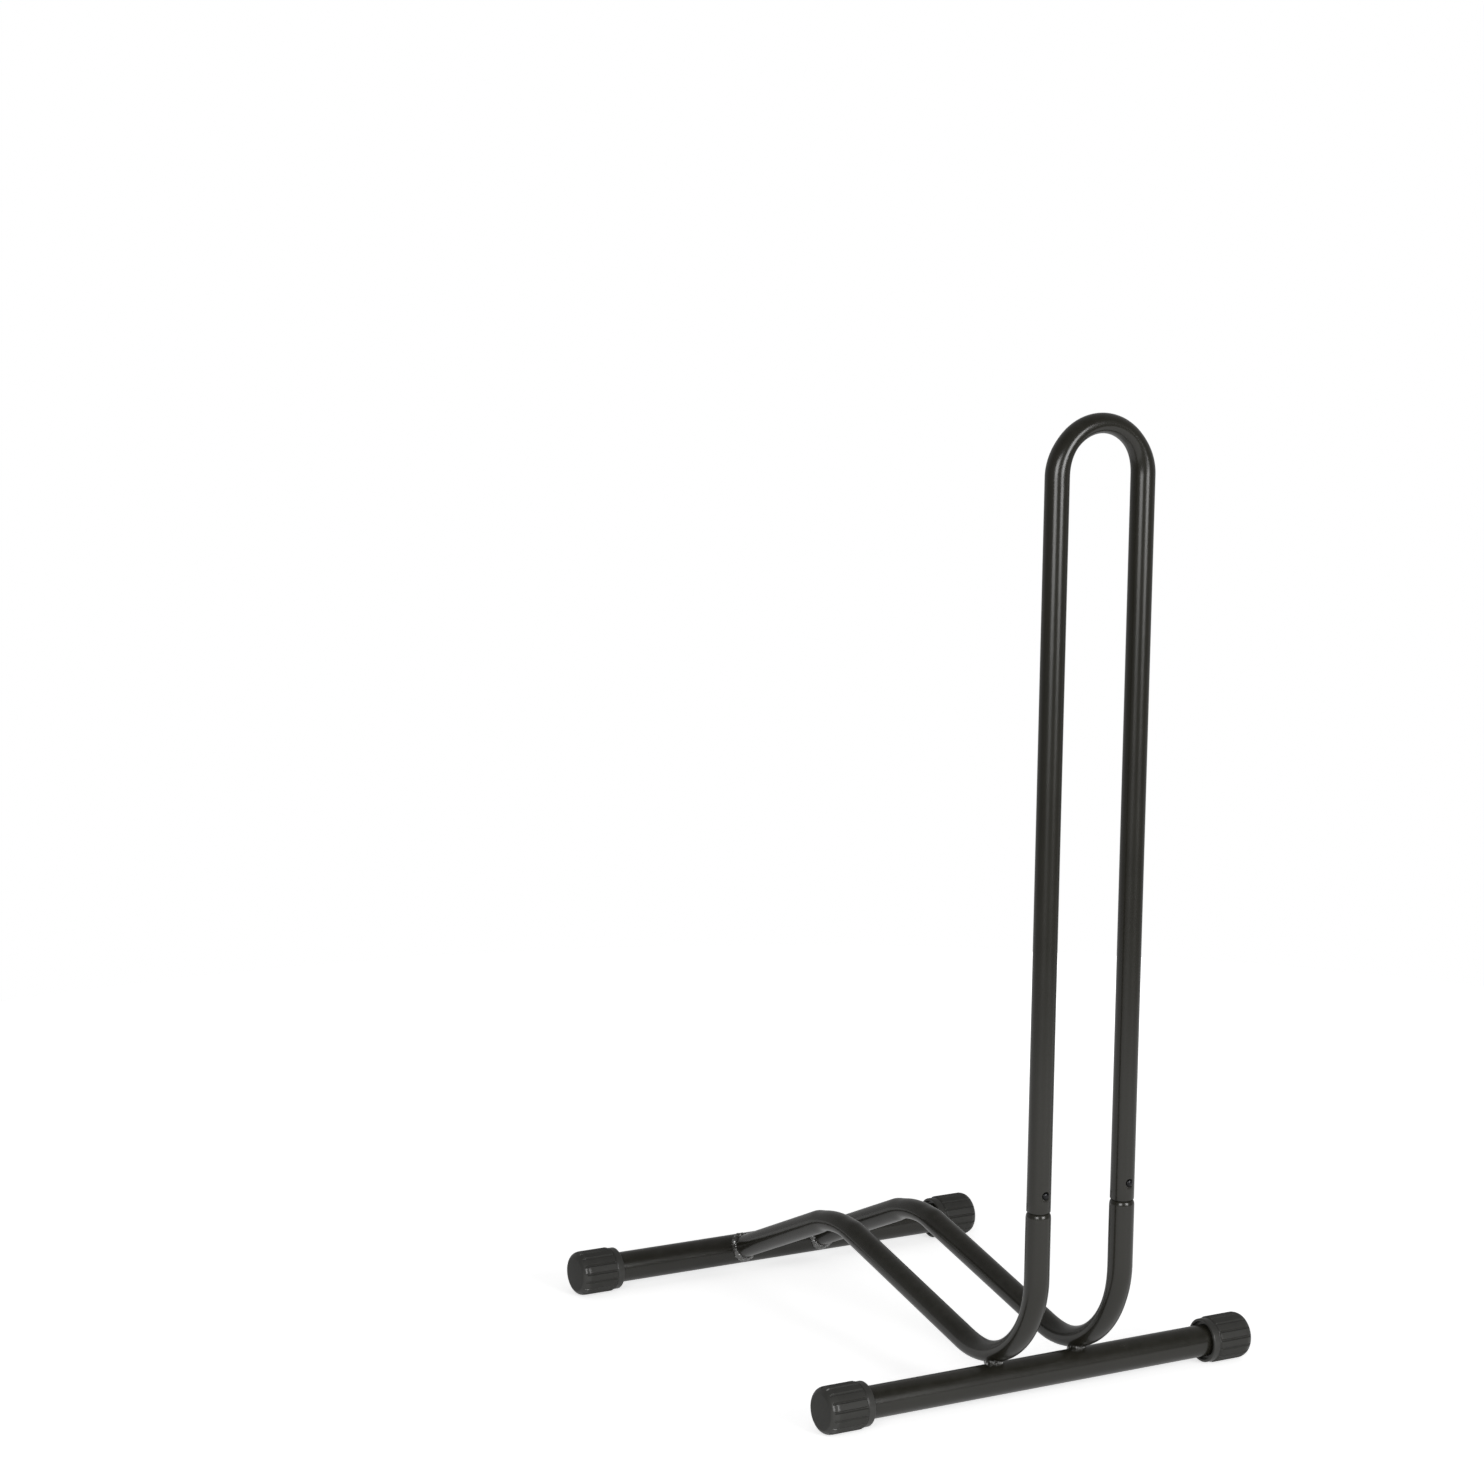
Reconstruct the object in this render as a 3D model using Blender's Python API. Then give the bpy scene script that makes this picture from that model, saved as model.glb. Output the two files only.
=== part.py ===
"""Bike stand: two ground tubes with ribbed end caps, two bent rails and a tall plug-in hoop.

Metres, +Z up. The stand rests on Z = 0 and is centred on X = 0 and Y = 0.
The hoop stands at the front, on the -Y side. Left is -X.
"""

from math import cos, hypot, pi, radians, sin, sqrt, tan

import bmesh
import bpy
from mathutils import Vector

# Driving dimensions, in metres
GROUND_TUBE_RADIUS = 0.0125
GROUND_TUBE_WALL = 0.0015
GROUND_TUBE_SPACING = 0.390
OVERALL_WIDTH = 0.3944

CAP_LENGTH = 0.0390
CAP_FLAT_RADIUS = 0.0182
CAP_LANDS = 16
CAP_GROOVE_WIDTH = 0.0018
CAP_GROOVE_DEPTH = 0.0010
CAP_GROOVE_START = 0.0030
CAP_COLLAR_LENGTH = 0.0070
CAP_COLLAR_RADIUS = 0.0173
CAP_END_THICKNESS = 0.0030
CAP_END_FACE_RADIUS = 0.0125
CAP_EDGE_DEPTH = 0.0075
CAP_LIP = 0.0008
CAP_RECESS_RADIUS = 0.0153
CAP_RECESS_DEPTH = 0.0030

RAIL_RADIUS = 0.0096
RAIL_WALL = 0.0015
RAIL_HALF_SPACING = 0.0385
RAIL_CREST_BACK = 0.233
RAIL_CREST_HEIGHT = 0.0690
RAIL_CREST_BEND = 0.090
RAIL_TOE_FORWARD = 0.050
RAIL_TOE_HEIGHT = -0.0042
RAIL_TOE_BEND = 0.075
RAIL_BEND_THICKNESS = 0.86
RAIL_SHOULDER_START = 0.1403
RAIL_SHOULDER_HEIGHT = 0.0042

SPIGOT_RADIUS = 0.0077
SPIGOT_WALL = 0.0014
SPIGOT_TOP = 0.200

HOOP_RADIUS = 0.0092
HOOP_WALL = 0.0012
HOOP_LEG_END = 0.1455
HOOP_BEND_HEIGHT = 0.6941
HOOP_BEND_THICKNESS = 0.815
HOOP_END_ROUND = 0.0007

BUTTON_HEIGHT = 0.1590
BUTTON_RADIUS = 0.00275
BUTTON_FLANGE_RADIUS = 0.0036
BUTTON_FLANGE_THICKNESS = 0.0009
BUTTON_PROUD = 0.0012
BUTTON_DOME = 0.0013
BUTTON_SEAT_DEPTH = 0.0042
HOOP_HOLE_RADIUS = 0.00315
SPIGOT_HOLE_RADIUS = 0.00310

SPRING_WIDTH = 0.0060
SPRING_THICKNESS = 0.0006
SPRING_TOP = 0.165
SPRING_BOTTOM = 0.128
SPRING_BACK = 0.0050

WELD_RADIUS = 0.0021

GAP = 0.0003

# Where the ground tubes' axes lie in the stand's own frame
AXIS_HEIGHT = CAP_FLAT_RADIUS
FRONT_REACH = RAIL_TOE_FORWARD + HOOP_RADIUS + BUTTON_PROUD
REAR_REACH = GROUND_TUBE_SPACING + CAP_FLAT_RADIUS
FRONT_AXIS = (FRONT_REACH - REAR_REACH) / 2
REAR_AXIS = FRONT_AXIS + GROUND_TUBE_SPACING
HOOP_PLANE = FRONT_AXIS - RAIL_TOE_FORWARD

# How finely round shapes are divided
TUBE_SIDES = 20
CUTTER_SIDES = 48
BUTTON_SIDES = 12
WELD_SIDES = 6
WELD_STEPS = 18
BEND_STEPS = 7
HOOP_BEND_STEPS = 14
SHOULDER_STEPS = 3
CAP_EDGE_STEPS = 3
DOME_STEPS = 3
SPRING_TURN_STEPS = 4
BEND_RAMP = 0.25
SMOOTH_ANGLE = radians(35)
CUTTER_OVERRUN = 0.010
MERGE_DISTANCE = 1e-7
HALVINGS = 50
NEARLY_ALL = 0.999

# Finishes as seen in the photo: linear red, green and blue, then roughness and metallic
BLACK_POWDER_COAT = ((0.016, 0.016, 0.017), 0.38, 0.0)
BLACK_PLASTIC = ((0.030, 0.030, 0.031), 0.55, 0.0)
COATED_WELD = ((0.018, 0.018, 0.019), 0.45, 0.0)
BLACKED_STEEL = ((0.060, 0.060, 0.063), 0.35, 1.0)
SPRING_STEEL = ((0.45, 0.45, 0.46), 0.30, 1.0)


def clear_scene():
    for old in list(bpy.data.objects):
        bpy.data.objects.remove(old, do_unlink=True)


def material(name, finish):
    colour, roughness, metallic = finish
    made = bpy.data.materials.new(name)
    made.use_nodes = True
    shader = made.node_tree.nodes["Principled BSDF"]
    shader.inputs["Base Color"].default_value = (*colour, 1.0)
    shader.inputs["Roughness"].default_value = roughness
    shader.inputs["Metallic"].default_value = metallic
    return made


def ring(bm, centre, across, up, half_width, half_thickness, sides=TUBE_SIDES):
    """An elliptical ring of vertices around centre, in the plane of two unit vectors."""
    made = []
    for step in range(sides):
        turn = 2 * pi * step / sides
        offset = across * (half_width * cos(turn)) + up * (half_thickness * sin(turn))
        made.append(bm.verts.new(centre + offset))
    return made


def bridge(bm, first, second):
    """Side faces between two rings with the same number of vertices."""
    count = len(first)
    for step in range(count):
        after = (step + 1) % count
        bm.faces.new((first[step], first[after], second[after], second[step]))


def link_rings(bm, rings, closed):
    """Side faces along a list of rings, joined end to start when closed."""
    for first, second in zip(rings, rings[1:]):
        bridge(bm, first, second)
    if closed:
        bridge(bm, rings[-1], rings[0])


def new_object(name, bm, finish, origin=(0.0, 0.0, 0.0)):
    """Turn a finished bmesh into an object with its own material, and its origin at the given point."""
    bmesh.ops.remove_doubles(bm, verts=bm.verts, dist=MERGE_DISTANCE)
    bmesh.ops.recalc_face_normals(bm, faces=bm.faces)
    bmesh.ops.translate(bm, verts=bm.verts, vec=-Vector(origin))
    mesh = bpy.data.meshes.new(name)
    bm.to_mesh(mesh)
    bm.free()
    mesh.shade_smooth()
    mesh.set_sharp_from_angle(angle=SMOOTH_ANGLE)
    made = bpy.data.objects.new(name, mesh)
    made.location = origin
    if finish:
        mesh.materials.append(material(name + "_finish", finish))
    bpy.context.scene.collection.objects.link(made)
    return made


def cylinder_cutter(name, start, end, radius):
    """A round bar between two points, used only to cut."""
    start = Vector(start)
    end = Vector(end)
    along = (end - start).normalized()
    across = along.orthogonal().normalized()
    up = along.cross(across)
    bm = bmesh.new()
    first = ring(bm, start, across, up, radius, radius, CUTTER_SIDES)
    last = ring(bm, end, across, up, radius, radius, CUTTER_SIDES)
    bridge(bm, first, last)
    bm.faces.new(first)
    bm.faces.new(last)
    cutter = new_object(name, bm, None)
    cutter.hide_render = True
    cutter.display_type = "WIRE"
    return cutter


def cut(target, cutter):
    boolean = target.modifiers.new("cut_by_" + cutter.name, "BOOLEAN")
    boolean.operation = "DIFFERENCE"
    boolean.solver = "EXACT"
    boolean.object = cutter


class Station:
    """One place along a bent tube: where it is, which way it runs and how much it is squashed."""

    def __init__(self, place, heading, squash=0.0):
        self.place = place
        self.heading = heading
        self.squash = squash


def squash_ramp(part):
    """How far a bend is flattened, 0 at its two ends and 1 over its middle."""
    inside = min(part, 1 - part) / BEND_RAMP
    inside = min(inside, 1.0)
    return inside * inside * (3 - 2 * inside)


def bent_path(corners, bends, steps):
    """Stations along straight runs joined by arcs, in a plane of two coordinates."""
    stations = []
    run = (corners[1] - corners[0]).normalized()
    stations.append(Station(corners[0], run))
    for number, bend_radius in enumerate(bends, start=1):
        corner = corners[number]
        into = (corner - corners[number - 1]).normalized()
        out = (corners[number + 1] - corner).normalized()
        turn = into.angle(out)
        start = corner - into * (bend_radius * tan(turn / 2))
        inward = into.orthogonal()
        if inward.dot(out) < 0:
            inward = -inward
        middle = start + inward * bend_radius
        for step in range(steps + 1):
            part = step / steps
            swept = turn * part
            place = middle - inward * (bend_radius * cos(swept)) + into * (bend_radius * sin(swept))
            heading = into * cos(swept) + inward * sin(swept)
            stations.append(Station(place, heading, squash_ramp(part)))
    stations.append(Station(corners[-1], (corners[-1] - corners[-2]).normalized()))
    return stations


def rail_centre_line():
    """The rail's side view: (Y, Z) from the rear ground tube, over the crest, to the shoulder."""
    rear = Vector((REAR_AXIS, AXIS_HEIGHT))
    crest = Vector((FRONT_AXIS + RAIL_CREST_BACK, AXIS_HEIGHT + RAIL_CREST_HEIGHT))
    toe = Vector((HOOP_PLANE, AXIS_HEIGHT + RAIL_TOE_HEIGHT))
    top = Vector((HOOP_PLANE, AXIS_HEIGHT + RAIL_SHOULDER_START))
    return bent_path([rear, crest, toe, top], [RAIL_CREST_BEND, RAIL_TOE_BEND], BEND_STEPS)


def side_view_ring(bm, station, side_x, half_width, half_thickness):
    """A ring square to a station of a path drawn in the YZ plane."""
    centre = Vector((side_x, station.place.x, station.place.y))
    upward = Vector((0.0, -station.heading.y, station.heading.x))
    return ring(bm, centre, Vector((1.0, 0.0, 0.0)), upward, half_width, half_thickness)


def squashed(station, thickness_in_bend):
    """The factor on a tube's thickness at this station."""
    return 1 - (1 - thickness_in_bend) * station.squash


def build_rail(name, side, rear_cutter):
    """A bent tube whose top end is swaged down to a spigot for the hoop."""
    side_x = side * RAIL_HALF_SPACING
    bm = bmesh.new()
    outer = []
    inner = []
    stations = rail_centre_line()
    bore = RAIL_RADIUS - RAIL_WALL
    for station in stations:
        factor = squashed(station, RAIL_BEND_THICKNESS)
        outer.append(side_view_ring(bm, station, side_x, RAIL_RADIUS, RAIL_RADIUS * factor))
        inner.append(side_view_ring(bm, station, side_x, bore, bore * factor))
    top = stations[-1]
    step_in = RAIL_RADIUS - SPIGOT_RADIUS
    for step in range(1, SHOULDER_STEPS + 1):
        turn = pi / 2 * step / SHOULDER_STEPS
        rise = RAIL_SHOULDER_HEIGHT * sin(turn)
        radius = SPIGOT_RADIUS + step_in * cos(turn)
        level = Station(top.place + Vector((0.0, rise)), top.heading)
        outer.append(side_view_ring(bm, level, side_x, radius, radius))
    spigot_bore = SPIGOT_RADIUS - SPIGOT_WALL
    neck = Vector((HOOP_PLANE, AXIS_HEIGHT + RAIL_SHOULDER_START + RAIL_SHOULDER_HEIGHT))
    inner.append(side_view_ring(bm, Station(neck, top.heading), side_x, spigot_bore, spigot_bore))
    end = Station(Vector((HOOP_PLANE, AXIS_HEIGHT + SPIGOT_TOP)), top.heading)
    outer.append(side_view_ring(bm, end, side_x, SPIGOT_RADIUS, SPIGOT_RADIUS))
    inner.append(side_view_ring(bm, end, side_x, spigot_bore, spigot_bore))
    link_rings(bm, outer, closed=False)
    link_rings(bm, inner, closed=False)
    bridge(bm, outer[0], inner[0])
    bridge(bm, outer[-1], inner[-1])
    rail = new_object(name, bm, BLACK_POWDER_COAT)
    cut(rail, rear_cutter)
    hole = cylinder_cutter(
        name + "_button_hole",
        (side_x, HOOP_PLANE, AXIS_HEIGHT + BUTTON_HEIGHT),
        (side_x, HOOP_PLANE - CUTTER_OVERRUN, AXIS_HEIGHT + BUTTON_HEIGHT),
        SPIGOT_HOLE_RADIUS,
    )
    cut(rail, hole)


def front_view_ring(bm, centre, heading, half_width, half_thickness):
    """A ring square to a heading in the hoop's plane."""
    outward = Vector((heading.z, 0.0, -heading.x))
    return ring(bm, centre, Vector((0.0, 1.0, 0.0)), outward, half_width, half_thickness)


def build_hoop():
    """A tall inverted U of tube, open at both feet, with a hole for each snap button."""
    bm = bmesh.new()
    outer = []
    inner = []
    bore = HOOP_RADIUS - HOOP_WALL
    upwards = Vector((0.0, 0.0, 1.0))
    foot = AXIS_HEIGHT + HOOP_LEG_END
    bend = AXIS_HEIGHT + HOOP_BEND_HEIGHT
    left_x = -RAIL_HALF_SPACING
    right_x = RAIL_HALF_SPACING

    def add(x, z, heading, radius, bore_radius, factor=1.0):
        centre = Vector((x, HOOP_PLANE, z))
        outer.append(front_view_ring(bm, centre, heading, radius, radius * factor))
        if bore_radius:
            inner.append(front_view_ring(bm, centre, heading, bore_radius, bore_radius * factor))

    add(left_x, foot, upwards, HOOP_RADIUS - HOOP_END_ROUND, bore)
    add(left_x, foot + HOOP_END_ROUND, upwards, HOOP_RADIUS, None)
    for step in range(HOOP_BEND_STEPS + 1):
        part = step / HOOP_BEND_STEPS
        swept = pi * part
        x = -RAIL_HALF_SPACING * cos(swept)
        z = bend + RAIL_HALF_SPACING * sin(swept)
        heading = Vector((sin(swept), 0.0, cos(swept)))
        factor = 1 - (1 - HOOP_BEND_THICKNESS) * squash_ramp(part)
        add(x, z, heading, HOOP_RADIUS, bore, factor)
    add(right_x, foot + HOOP_END_ROUND, -upwards, HOOP_RADIUS, None)
    add(right_x, foot, -upwards, HOOP_RADIUS - HOOP_END_ROUND, bore)
    link_rings(bm, outer, closed=False)
    link_rings(bm, inner, closed=False)
    bridge(bm, outer[0], inner[0])
    bridge(bm, outer[-1], inner[-1])
    hoop = new_object("hoop", bm, BLACK_POWDER_COAT, origin=(0.0, HOOP_PLANE, foot))
    for side_name, side in (("left", -1), ("right", 1)):
        x = side * RAIL_HALF_SPACING
        hole = cylinder_cutter(
            "hoop_" + side_name + "_hole",
            (x, HOOP_PLANE, AXIS_HEIGHT + BUTTON_HEIGHT),
            (x, HOOP_PLANE - CUTTER_OVERRUN - HOOP_RADIUS, AXIS_HEIGHT + BUTTON_HEIGHT),
            HOOP_HOLE_RADIUS,
        )
        cut(hoop, hole)


def build_ground_tube(name, axis_y):
    """A straight open-ended tube across the stand."""
    half = OVERALL_WIDTH / 2 - CAP_END_THICKNESS - GAP
    across = Vector((0.0, 1.0, 0.0))
    upward = Vector((0.0, 0.0, 1.0))
    bore = GROUND_TUBE_RADIUS - GROUND_TUBE_WALL
    bm = bmesh.new()
    loops = []
    for x, radius in ((-half, GROUND_TUBE_RADIUS), (half, GROUND_TUBE_RADIUS), (half, bore), (-half, bore)):
        loops.append(ring(bm, Vector((x, axis_y, AXIS_HEIGHT)), across, upward, radius, radius))
    link_rings(bm, loops, closed=True)
    new_object(name, bm, BLACK_POWDER_COAT)


def cap_ring(bm, centre, side, flat_radius, groove_depth):
    """An outline of flat lands, with a narrow groove of the given depth at each corner."""
    made = []
    pitch = 2 * pi / CAP_LANDS
    groove_half = CAP_GROOVE_WIDTH / 2 / flat_radius
    land_half = pitch / 2 - groove_half
    corner_radius = flat_radius / cos(land_half)
    floor_radius = corner_radius - groove_depth
    for land in range(CAP_LANDS):
        middle = land * pitch
        places = (
            (middle - land_half, corner_radius),
            (middle + land_half, corner_radius),
            (middle + land_half, floor_radius),
            (middle + pitch - land_half, floor_radius),
        )
        for turn, radius in places:
            offset = Vector((0.0, radius * sin(turn) * side, -radius * cos(turn)))
            made.append(bm.verts.new(centre + offset))
    return made


def build_cap(name, side, axis_y):
    """A ribbed cup with a domed end, recessed at its mouth, pushed over the end of a ground tube."""
    tip = OVERALL_WIDTH / 2
    groove_end = CAP_LENGTH - CAP_COLLAR_LENGTH
    outline = []
    for step in range(CAP_EDGE_STEPS + 1):
        turn = pi / 2 * step / CAP_EDGE_STEPS
        depth = CAP_EDGE_DEPTH * (1 - cos(turn))
        radius = CAP_END_FACE_RADIUS + (CAP_FLAT_RADIUS - CAP_END_FACE_RADIUS) * sin(turn)
        groove = CAP_GROOVE_DEPTH if depth > CAP_GROOVE_START else 0.0
        outline.append((depth, radius, groove))
    outline += [
        (groove_end, CAP_FLAT_RADIUS, CAP_GROOVE_DEPTH),
        (groove_end, CAP_COLLAR_RADIUS, 0.0),
        (CAP_LENGTH - CAP_LIP, CAP_COLLAR_RADIUS, 0.0),
        (CAP_LENGTH, CAP_COLLAR_RADIUS - CAP_LIP, 0.0),
    ]
    bm = bmesh.new()
    loops = []
    for depth, radius, groove in outline:
        centre = Vector((side * (tip - depth), axis_y, AXIS_HEIGHT))
        loops.append(cap_ring(bm, centre, side, radius, groove))
    link_rings(bm, loops, closed=False)
    bm.faces.new(loops[0])
    bore = GROUND_TUBE_RADIUS + GAP
    recess_end = CAP_LENGTH - CAP_RECESS_DEPTH
    mouth = loops[-1]
    inside = [mouth]
    for depth, radius in (
        (CAP_LENGTH, CAP_RECESS_RADIUS),
        (recess_end, CAP_RECESS_RADIUS),
        (recess_end, bore),
        (CAP_END_THICKNESS, bore),
    ):
        centre = Vector((side * (tip - depth), axis_y, AXIS_HEIGHT))
        loop = []
        for rim in mouth:
            away = rim.co - Vector((rim.co.x, axis_y, AXIS_HEIGHT))
            loop.append(bm.verts.new(centre + away.normalized() * radius))
        inside.append(loop)
    link_rings(bm, inside, closed=False)
    bm.faces.new(inside[-1])
    new_object(name, bm, BLACK_PLASTIC)


def bead(name, places):
    """A closed bead of weld metal along a loop of points."""
    bm = bmesh.new()
    count = len(places)
    middle = sum(places, Vector()) / count
    loops = []
    for number, place in enumerate(places):
        heading = (places[(number + 1) % count] - places[number - 1]).normalized()
        outward = place - middle
        outward = (outward - heading * outward.dot(heading)).normalized()
        upward = heading.cross(outward)
        loops.append(ring(bm, place, outward, upward, WELD_RADIUS, WELD_RADIUS, WELD_SIDES))
    link_rings(bm, loops, closed=True)
    new_object(name, bm, COATED_WELD)


def halfway(low, high, test):
    """The value between low and high where test changes from true to false."""
    for _ in range(HALVINGS):
        middle = (low + high) / 2
        if test(middle):
            low = middle
        else:
            high = middle
    return (low + high) / 2


def distance_to_rail(place, side_x, stations):
    """How far a point is from the rail's skin, allowing for the flattened bends."""
    best = None
    here = Vector((place.y, place.z))
    for first, second in zip(stations, stations[1:]):
        run = second.place - first.place
        part = (here - first.place).dot(run) / run.length_squared
        part = min(max(part, 0.0), 1.0)
        off = (here - first.place - run * part).length
        if best is None or off < best[0]:
            squash = first.squash + (second.squash - first.squash) * part
            best = (off, squash)
    off, squash = best
    thickness = RAIL_RADIUS * (1 - (1 - RAIL_BEND_THICKNESS) * squash)
    across = place.x - side_x
    spread = hypot(across, off)
    if spread == 0:
        return -thickness
    skin = 1 / hypot(across / spread / RAIL_RADIUS, off / spread / thickness)
    return spread - skin


def front_weld_path(side_x, stations):
    """Round the spot where the rail lies on the front tube, in the crevice between the two."""
    clear = WELD_RADIUS + GAP
    reach = GROUND_TUBE_RADIUS + clear
    places = []
    for step in range(WELD_STEPS):
        turn = 2 * pi * step / WELD_STEPS

        def on_tube(spread):
            along = spread * sin(turn)
            lift = sqrt(max(reach * reach - along * along, 0.0))
            return Vector((side_x + spread * cos(turn), FRONT_AXIS + along, AXIS_HEIGHT + lift))

        def under_rail(spread):
            return distance_to_rail(on_tube(spread), side_x, stations) < clear

        places.append(on_tube(halfway(0.0, reach * NEARLY_ALL, under_rail)))
    return places


def rear_weld_path(side_x, stations):
    """Round the rail where it butts against the rear tube."""
    clear = WELD_RADIUS + GAP
    heading = stations[0].heading
    along = Vector((0.0, heading.x, heading.y))
    upward = Vector((0.0, -heading.y, heading.x))
    around = RAIL_RADIUS + clear
    reach = GROUND_TUBE_RADIUS + clear
    axis = Vector((0.0, REAR_AXIS, AXIS_HEIGHT))
    places = []
    for step in range(WELD_STEPS):
        turn = 2 * pi * step / WELD_STEPS
        sideways = around * cos(turn)
        rise = around * sin(turn)
        run = sqrt(reach * reach - rise * rise)
        places.append(axis + Vector((side_x + sideways, 0.0, 0.0)) + upward * rise + along * run)
    return places


def build_button(name, side):
    """A domed pin with a flange, standing through the holes of the rail and the hoop's leg."""
    x = side * RAIL_HALF_SPACING
    z = AXIS_HEIGHT + BUTTON_HEIGHT
    tip = HOOP_PLANE - HOOP_RADIUS - BUTTON_PROUD
    back = HOOP_PLANE - BUTTON_SEAT_DEPTH
    shoulder = back - BUTTON_FLANGE_THICKNESS
    across = Vector((1.0, 0.0, 0.0))
    upward = Vector((0.0, 0.0, 1.0))
    outline = [
        (back, BUTTON_FLANGE_RADIUS),
        (shoulder, BUTTON_FLANGE_RADIUS),
        (shoulder, BUTTON_RADIUS),
    ]
    for step in range(DOME_STEPS):
        turn = pi / 2 * step / DOME_STEPS
        outline.append((tip + BUTTON_DOME * (1 - sin(turn)), BUTTON_RADIUS * cos(turn)))
    bm = bmesh.new()
    loops = []
    for y, radius in outline:
        loops.append(ring(bm, Vector((x, y, z)), across, upward, radius, radius, BUTTON_SIDES))
    link_rings(bm, loops, closed=False)
    bm.faces.new(loops[0])
    peak = bm.verts.new(Vector((x, tip, z)))
    last = loops[-1]
    for step in range(BUTTON_SIDES):
        bm.faces.new((last[step], last[(step + 1) % BUTTON_SIDES], peak))
    new_object(name, bm, BLACKED_STEEL, origin=(x, HOOP_PLANE - HOOP_RADIUS, z))


def build_spring(name, side):
    """A strip bent into a narrow U: the front arm carries the button, the back arm rests in the bore."""
    x = side * RAIL_HALF_SPACING
    front = HOOP_PLANE - BUTTON_SEAT_DEPTH + GAP + SPRING_THICKNESS / 2
    back = HOOP_PLANE + SPRING_BACK - SPRING_THICKNESS / 2
    top = AXIS_HEIGHT + SPRING_TOP
    turn_radius = (back - front) / 2
    turn_height = AXIS_HEIGHT + SPRING_BOTTOM + turn_radius
    line = [(front, top, 0.0, -1.0)]
    for step in range(SPRING_TURN_STEPS + 1):
        turn = pi * step / SPRING_TURN_STEPS
        y = (front + back) / 2 - turn_radius * cos(turn)
        z = turn_height - turn_radius * sin(turn)
        line.append((y, z, sin(turn), -cos(turn)))
    line.append((back, top, 0.0, 1.0))
    bm = bmesh.new()
    loops = []
    for y, z, heading_y, heading_z in line:
        loop = []
        for sideways, off in ((-1, -1), (1, -1), (1, 1), (-1, 1)):
            shift = off * SPRING_THICKNESS / 2
            place = Vector((x + sideways * SPRING_WIDTH / 2, y - heading_z * shift, z + heading_y * shift))
            loop.append(bm.verts.new(place))
        loops.append(loop)
    link_rings(bm, loops, closed=False)
    bm.faces.new(loops[0])
    bm.faces.new(loops[-1])
    new_object(name, bm, SPRING_STEEL)


def build_stand():
    clear_scene()
    build_ground_tube("front_ground_tube", FRONT_AXIS)
    build_ground_tube("rear_ground_tube", REAR_AXIS)
    half = OVERALL_WIDTH / 2
    rear_cutter = cylinder_cutter(
        "rear_tube_cope",
        (-half, REAR_AXIS, AXIS_HEIGHT),
        (half, REAR_AXIS, AXIS_HEIGHT),
        GROUND_TUBE_RADIUS + GAP,
    )
    stations = rail_centre_line()
    for side_name, side in (("left", -1), ("right", 1)):
        side_x = side * RAIL_HALF_SPACING
        build_rail(side_name + "_rail", side, rear_cutter)
        bead("front_" + side_name + "_weld", front_weld_path(side_x, stations))
        bead("rear_" + side_name + "_weld", rear_weld_path(side_x, stations))
        build_button(side_name + "_snap_button", side)
        build_spring(side_name + "_snap_spring", side)
        build_cap("front_" + side_name + "_end_cap", side, FRONT_AXIS)
        build_cap("rear_" + side_name + "_end_cap", side, REAR_AXIS)
    build_hoop()


build_stand()
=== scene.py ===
"""Bike stand: its fine surfaces, its finishes and a studio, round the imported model.

Metres, +Z up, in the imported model's own frame. The stand rests on Z = 0, its hoop stands on the -Y side,
and left is -X. Each piece is modelled by one operator of the add-on below, and main() calls them in order.
"""

from contextlib import contextmanager
from math import atan2, cos, hypot, pi, radians, sin, sqrt, tan

import bmesh
import bpy
from bpy.props import FloatProperty, FloatVectorProperty, IntProperty, PointerProperty
from mathutils import Matrix, Vector, noise


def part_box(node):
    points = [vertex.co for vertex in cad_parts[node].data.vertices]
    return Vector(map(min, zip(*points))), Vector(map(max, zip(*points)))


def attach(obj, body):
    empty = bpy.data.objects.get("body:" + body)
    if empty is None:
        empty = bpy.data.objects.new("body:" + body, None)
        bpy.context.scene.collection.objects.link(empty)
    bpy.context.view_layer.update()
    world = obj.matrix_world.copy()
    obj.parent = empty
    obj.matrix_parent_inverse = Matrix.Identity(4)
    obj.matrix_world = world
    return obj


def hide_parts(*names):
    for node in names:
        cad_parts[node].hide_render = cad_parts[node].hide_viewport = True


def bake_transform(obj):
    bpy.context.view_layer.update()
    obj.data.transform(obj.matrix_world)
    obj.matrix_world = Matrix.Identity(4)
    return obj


bl_info = {
    "name": "Bike Stand",
    "version": (1, 0, 0),
    "blender": (4, 5, 0),
    "location": "View3D > Sidebar > Bike Stand",
    "description": "Models a bike stand of bent tube, piece by piece, with its finishes and a studio",
    "category": "Add Mesh",
}

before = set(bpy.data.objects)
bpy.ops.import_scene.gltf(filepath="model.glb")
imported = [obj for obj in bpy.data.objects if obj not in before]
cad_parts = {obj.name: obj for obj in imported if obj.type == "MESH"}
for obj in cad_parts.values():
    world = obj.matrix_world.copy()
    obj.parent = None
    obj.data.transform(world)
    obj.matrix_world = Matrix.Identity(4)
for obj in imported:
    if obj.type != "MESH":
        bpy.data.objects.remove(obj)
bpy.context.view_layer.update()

X, Y, Z = range(3)
SIDES = (("left", -1), ("right", 1))
ENDS = ("front", "rear")
UP = Vector((0.0, 0.0, 1.0))


def middle(node, axis):
    """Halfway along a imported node's box."""
    low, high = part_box(node)
    return (low[axis] + high[axis]) / 2


def width(node, axis):
    """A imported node's size along one axis."""
    low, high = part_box(node)
    return high[axis] - low[axis]


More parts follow.
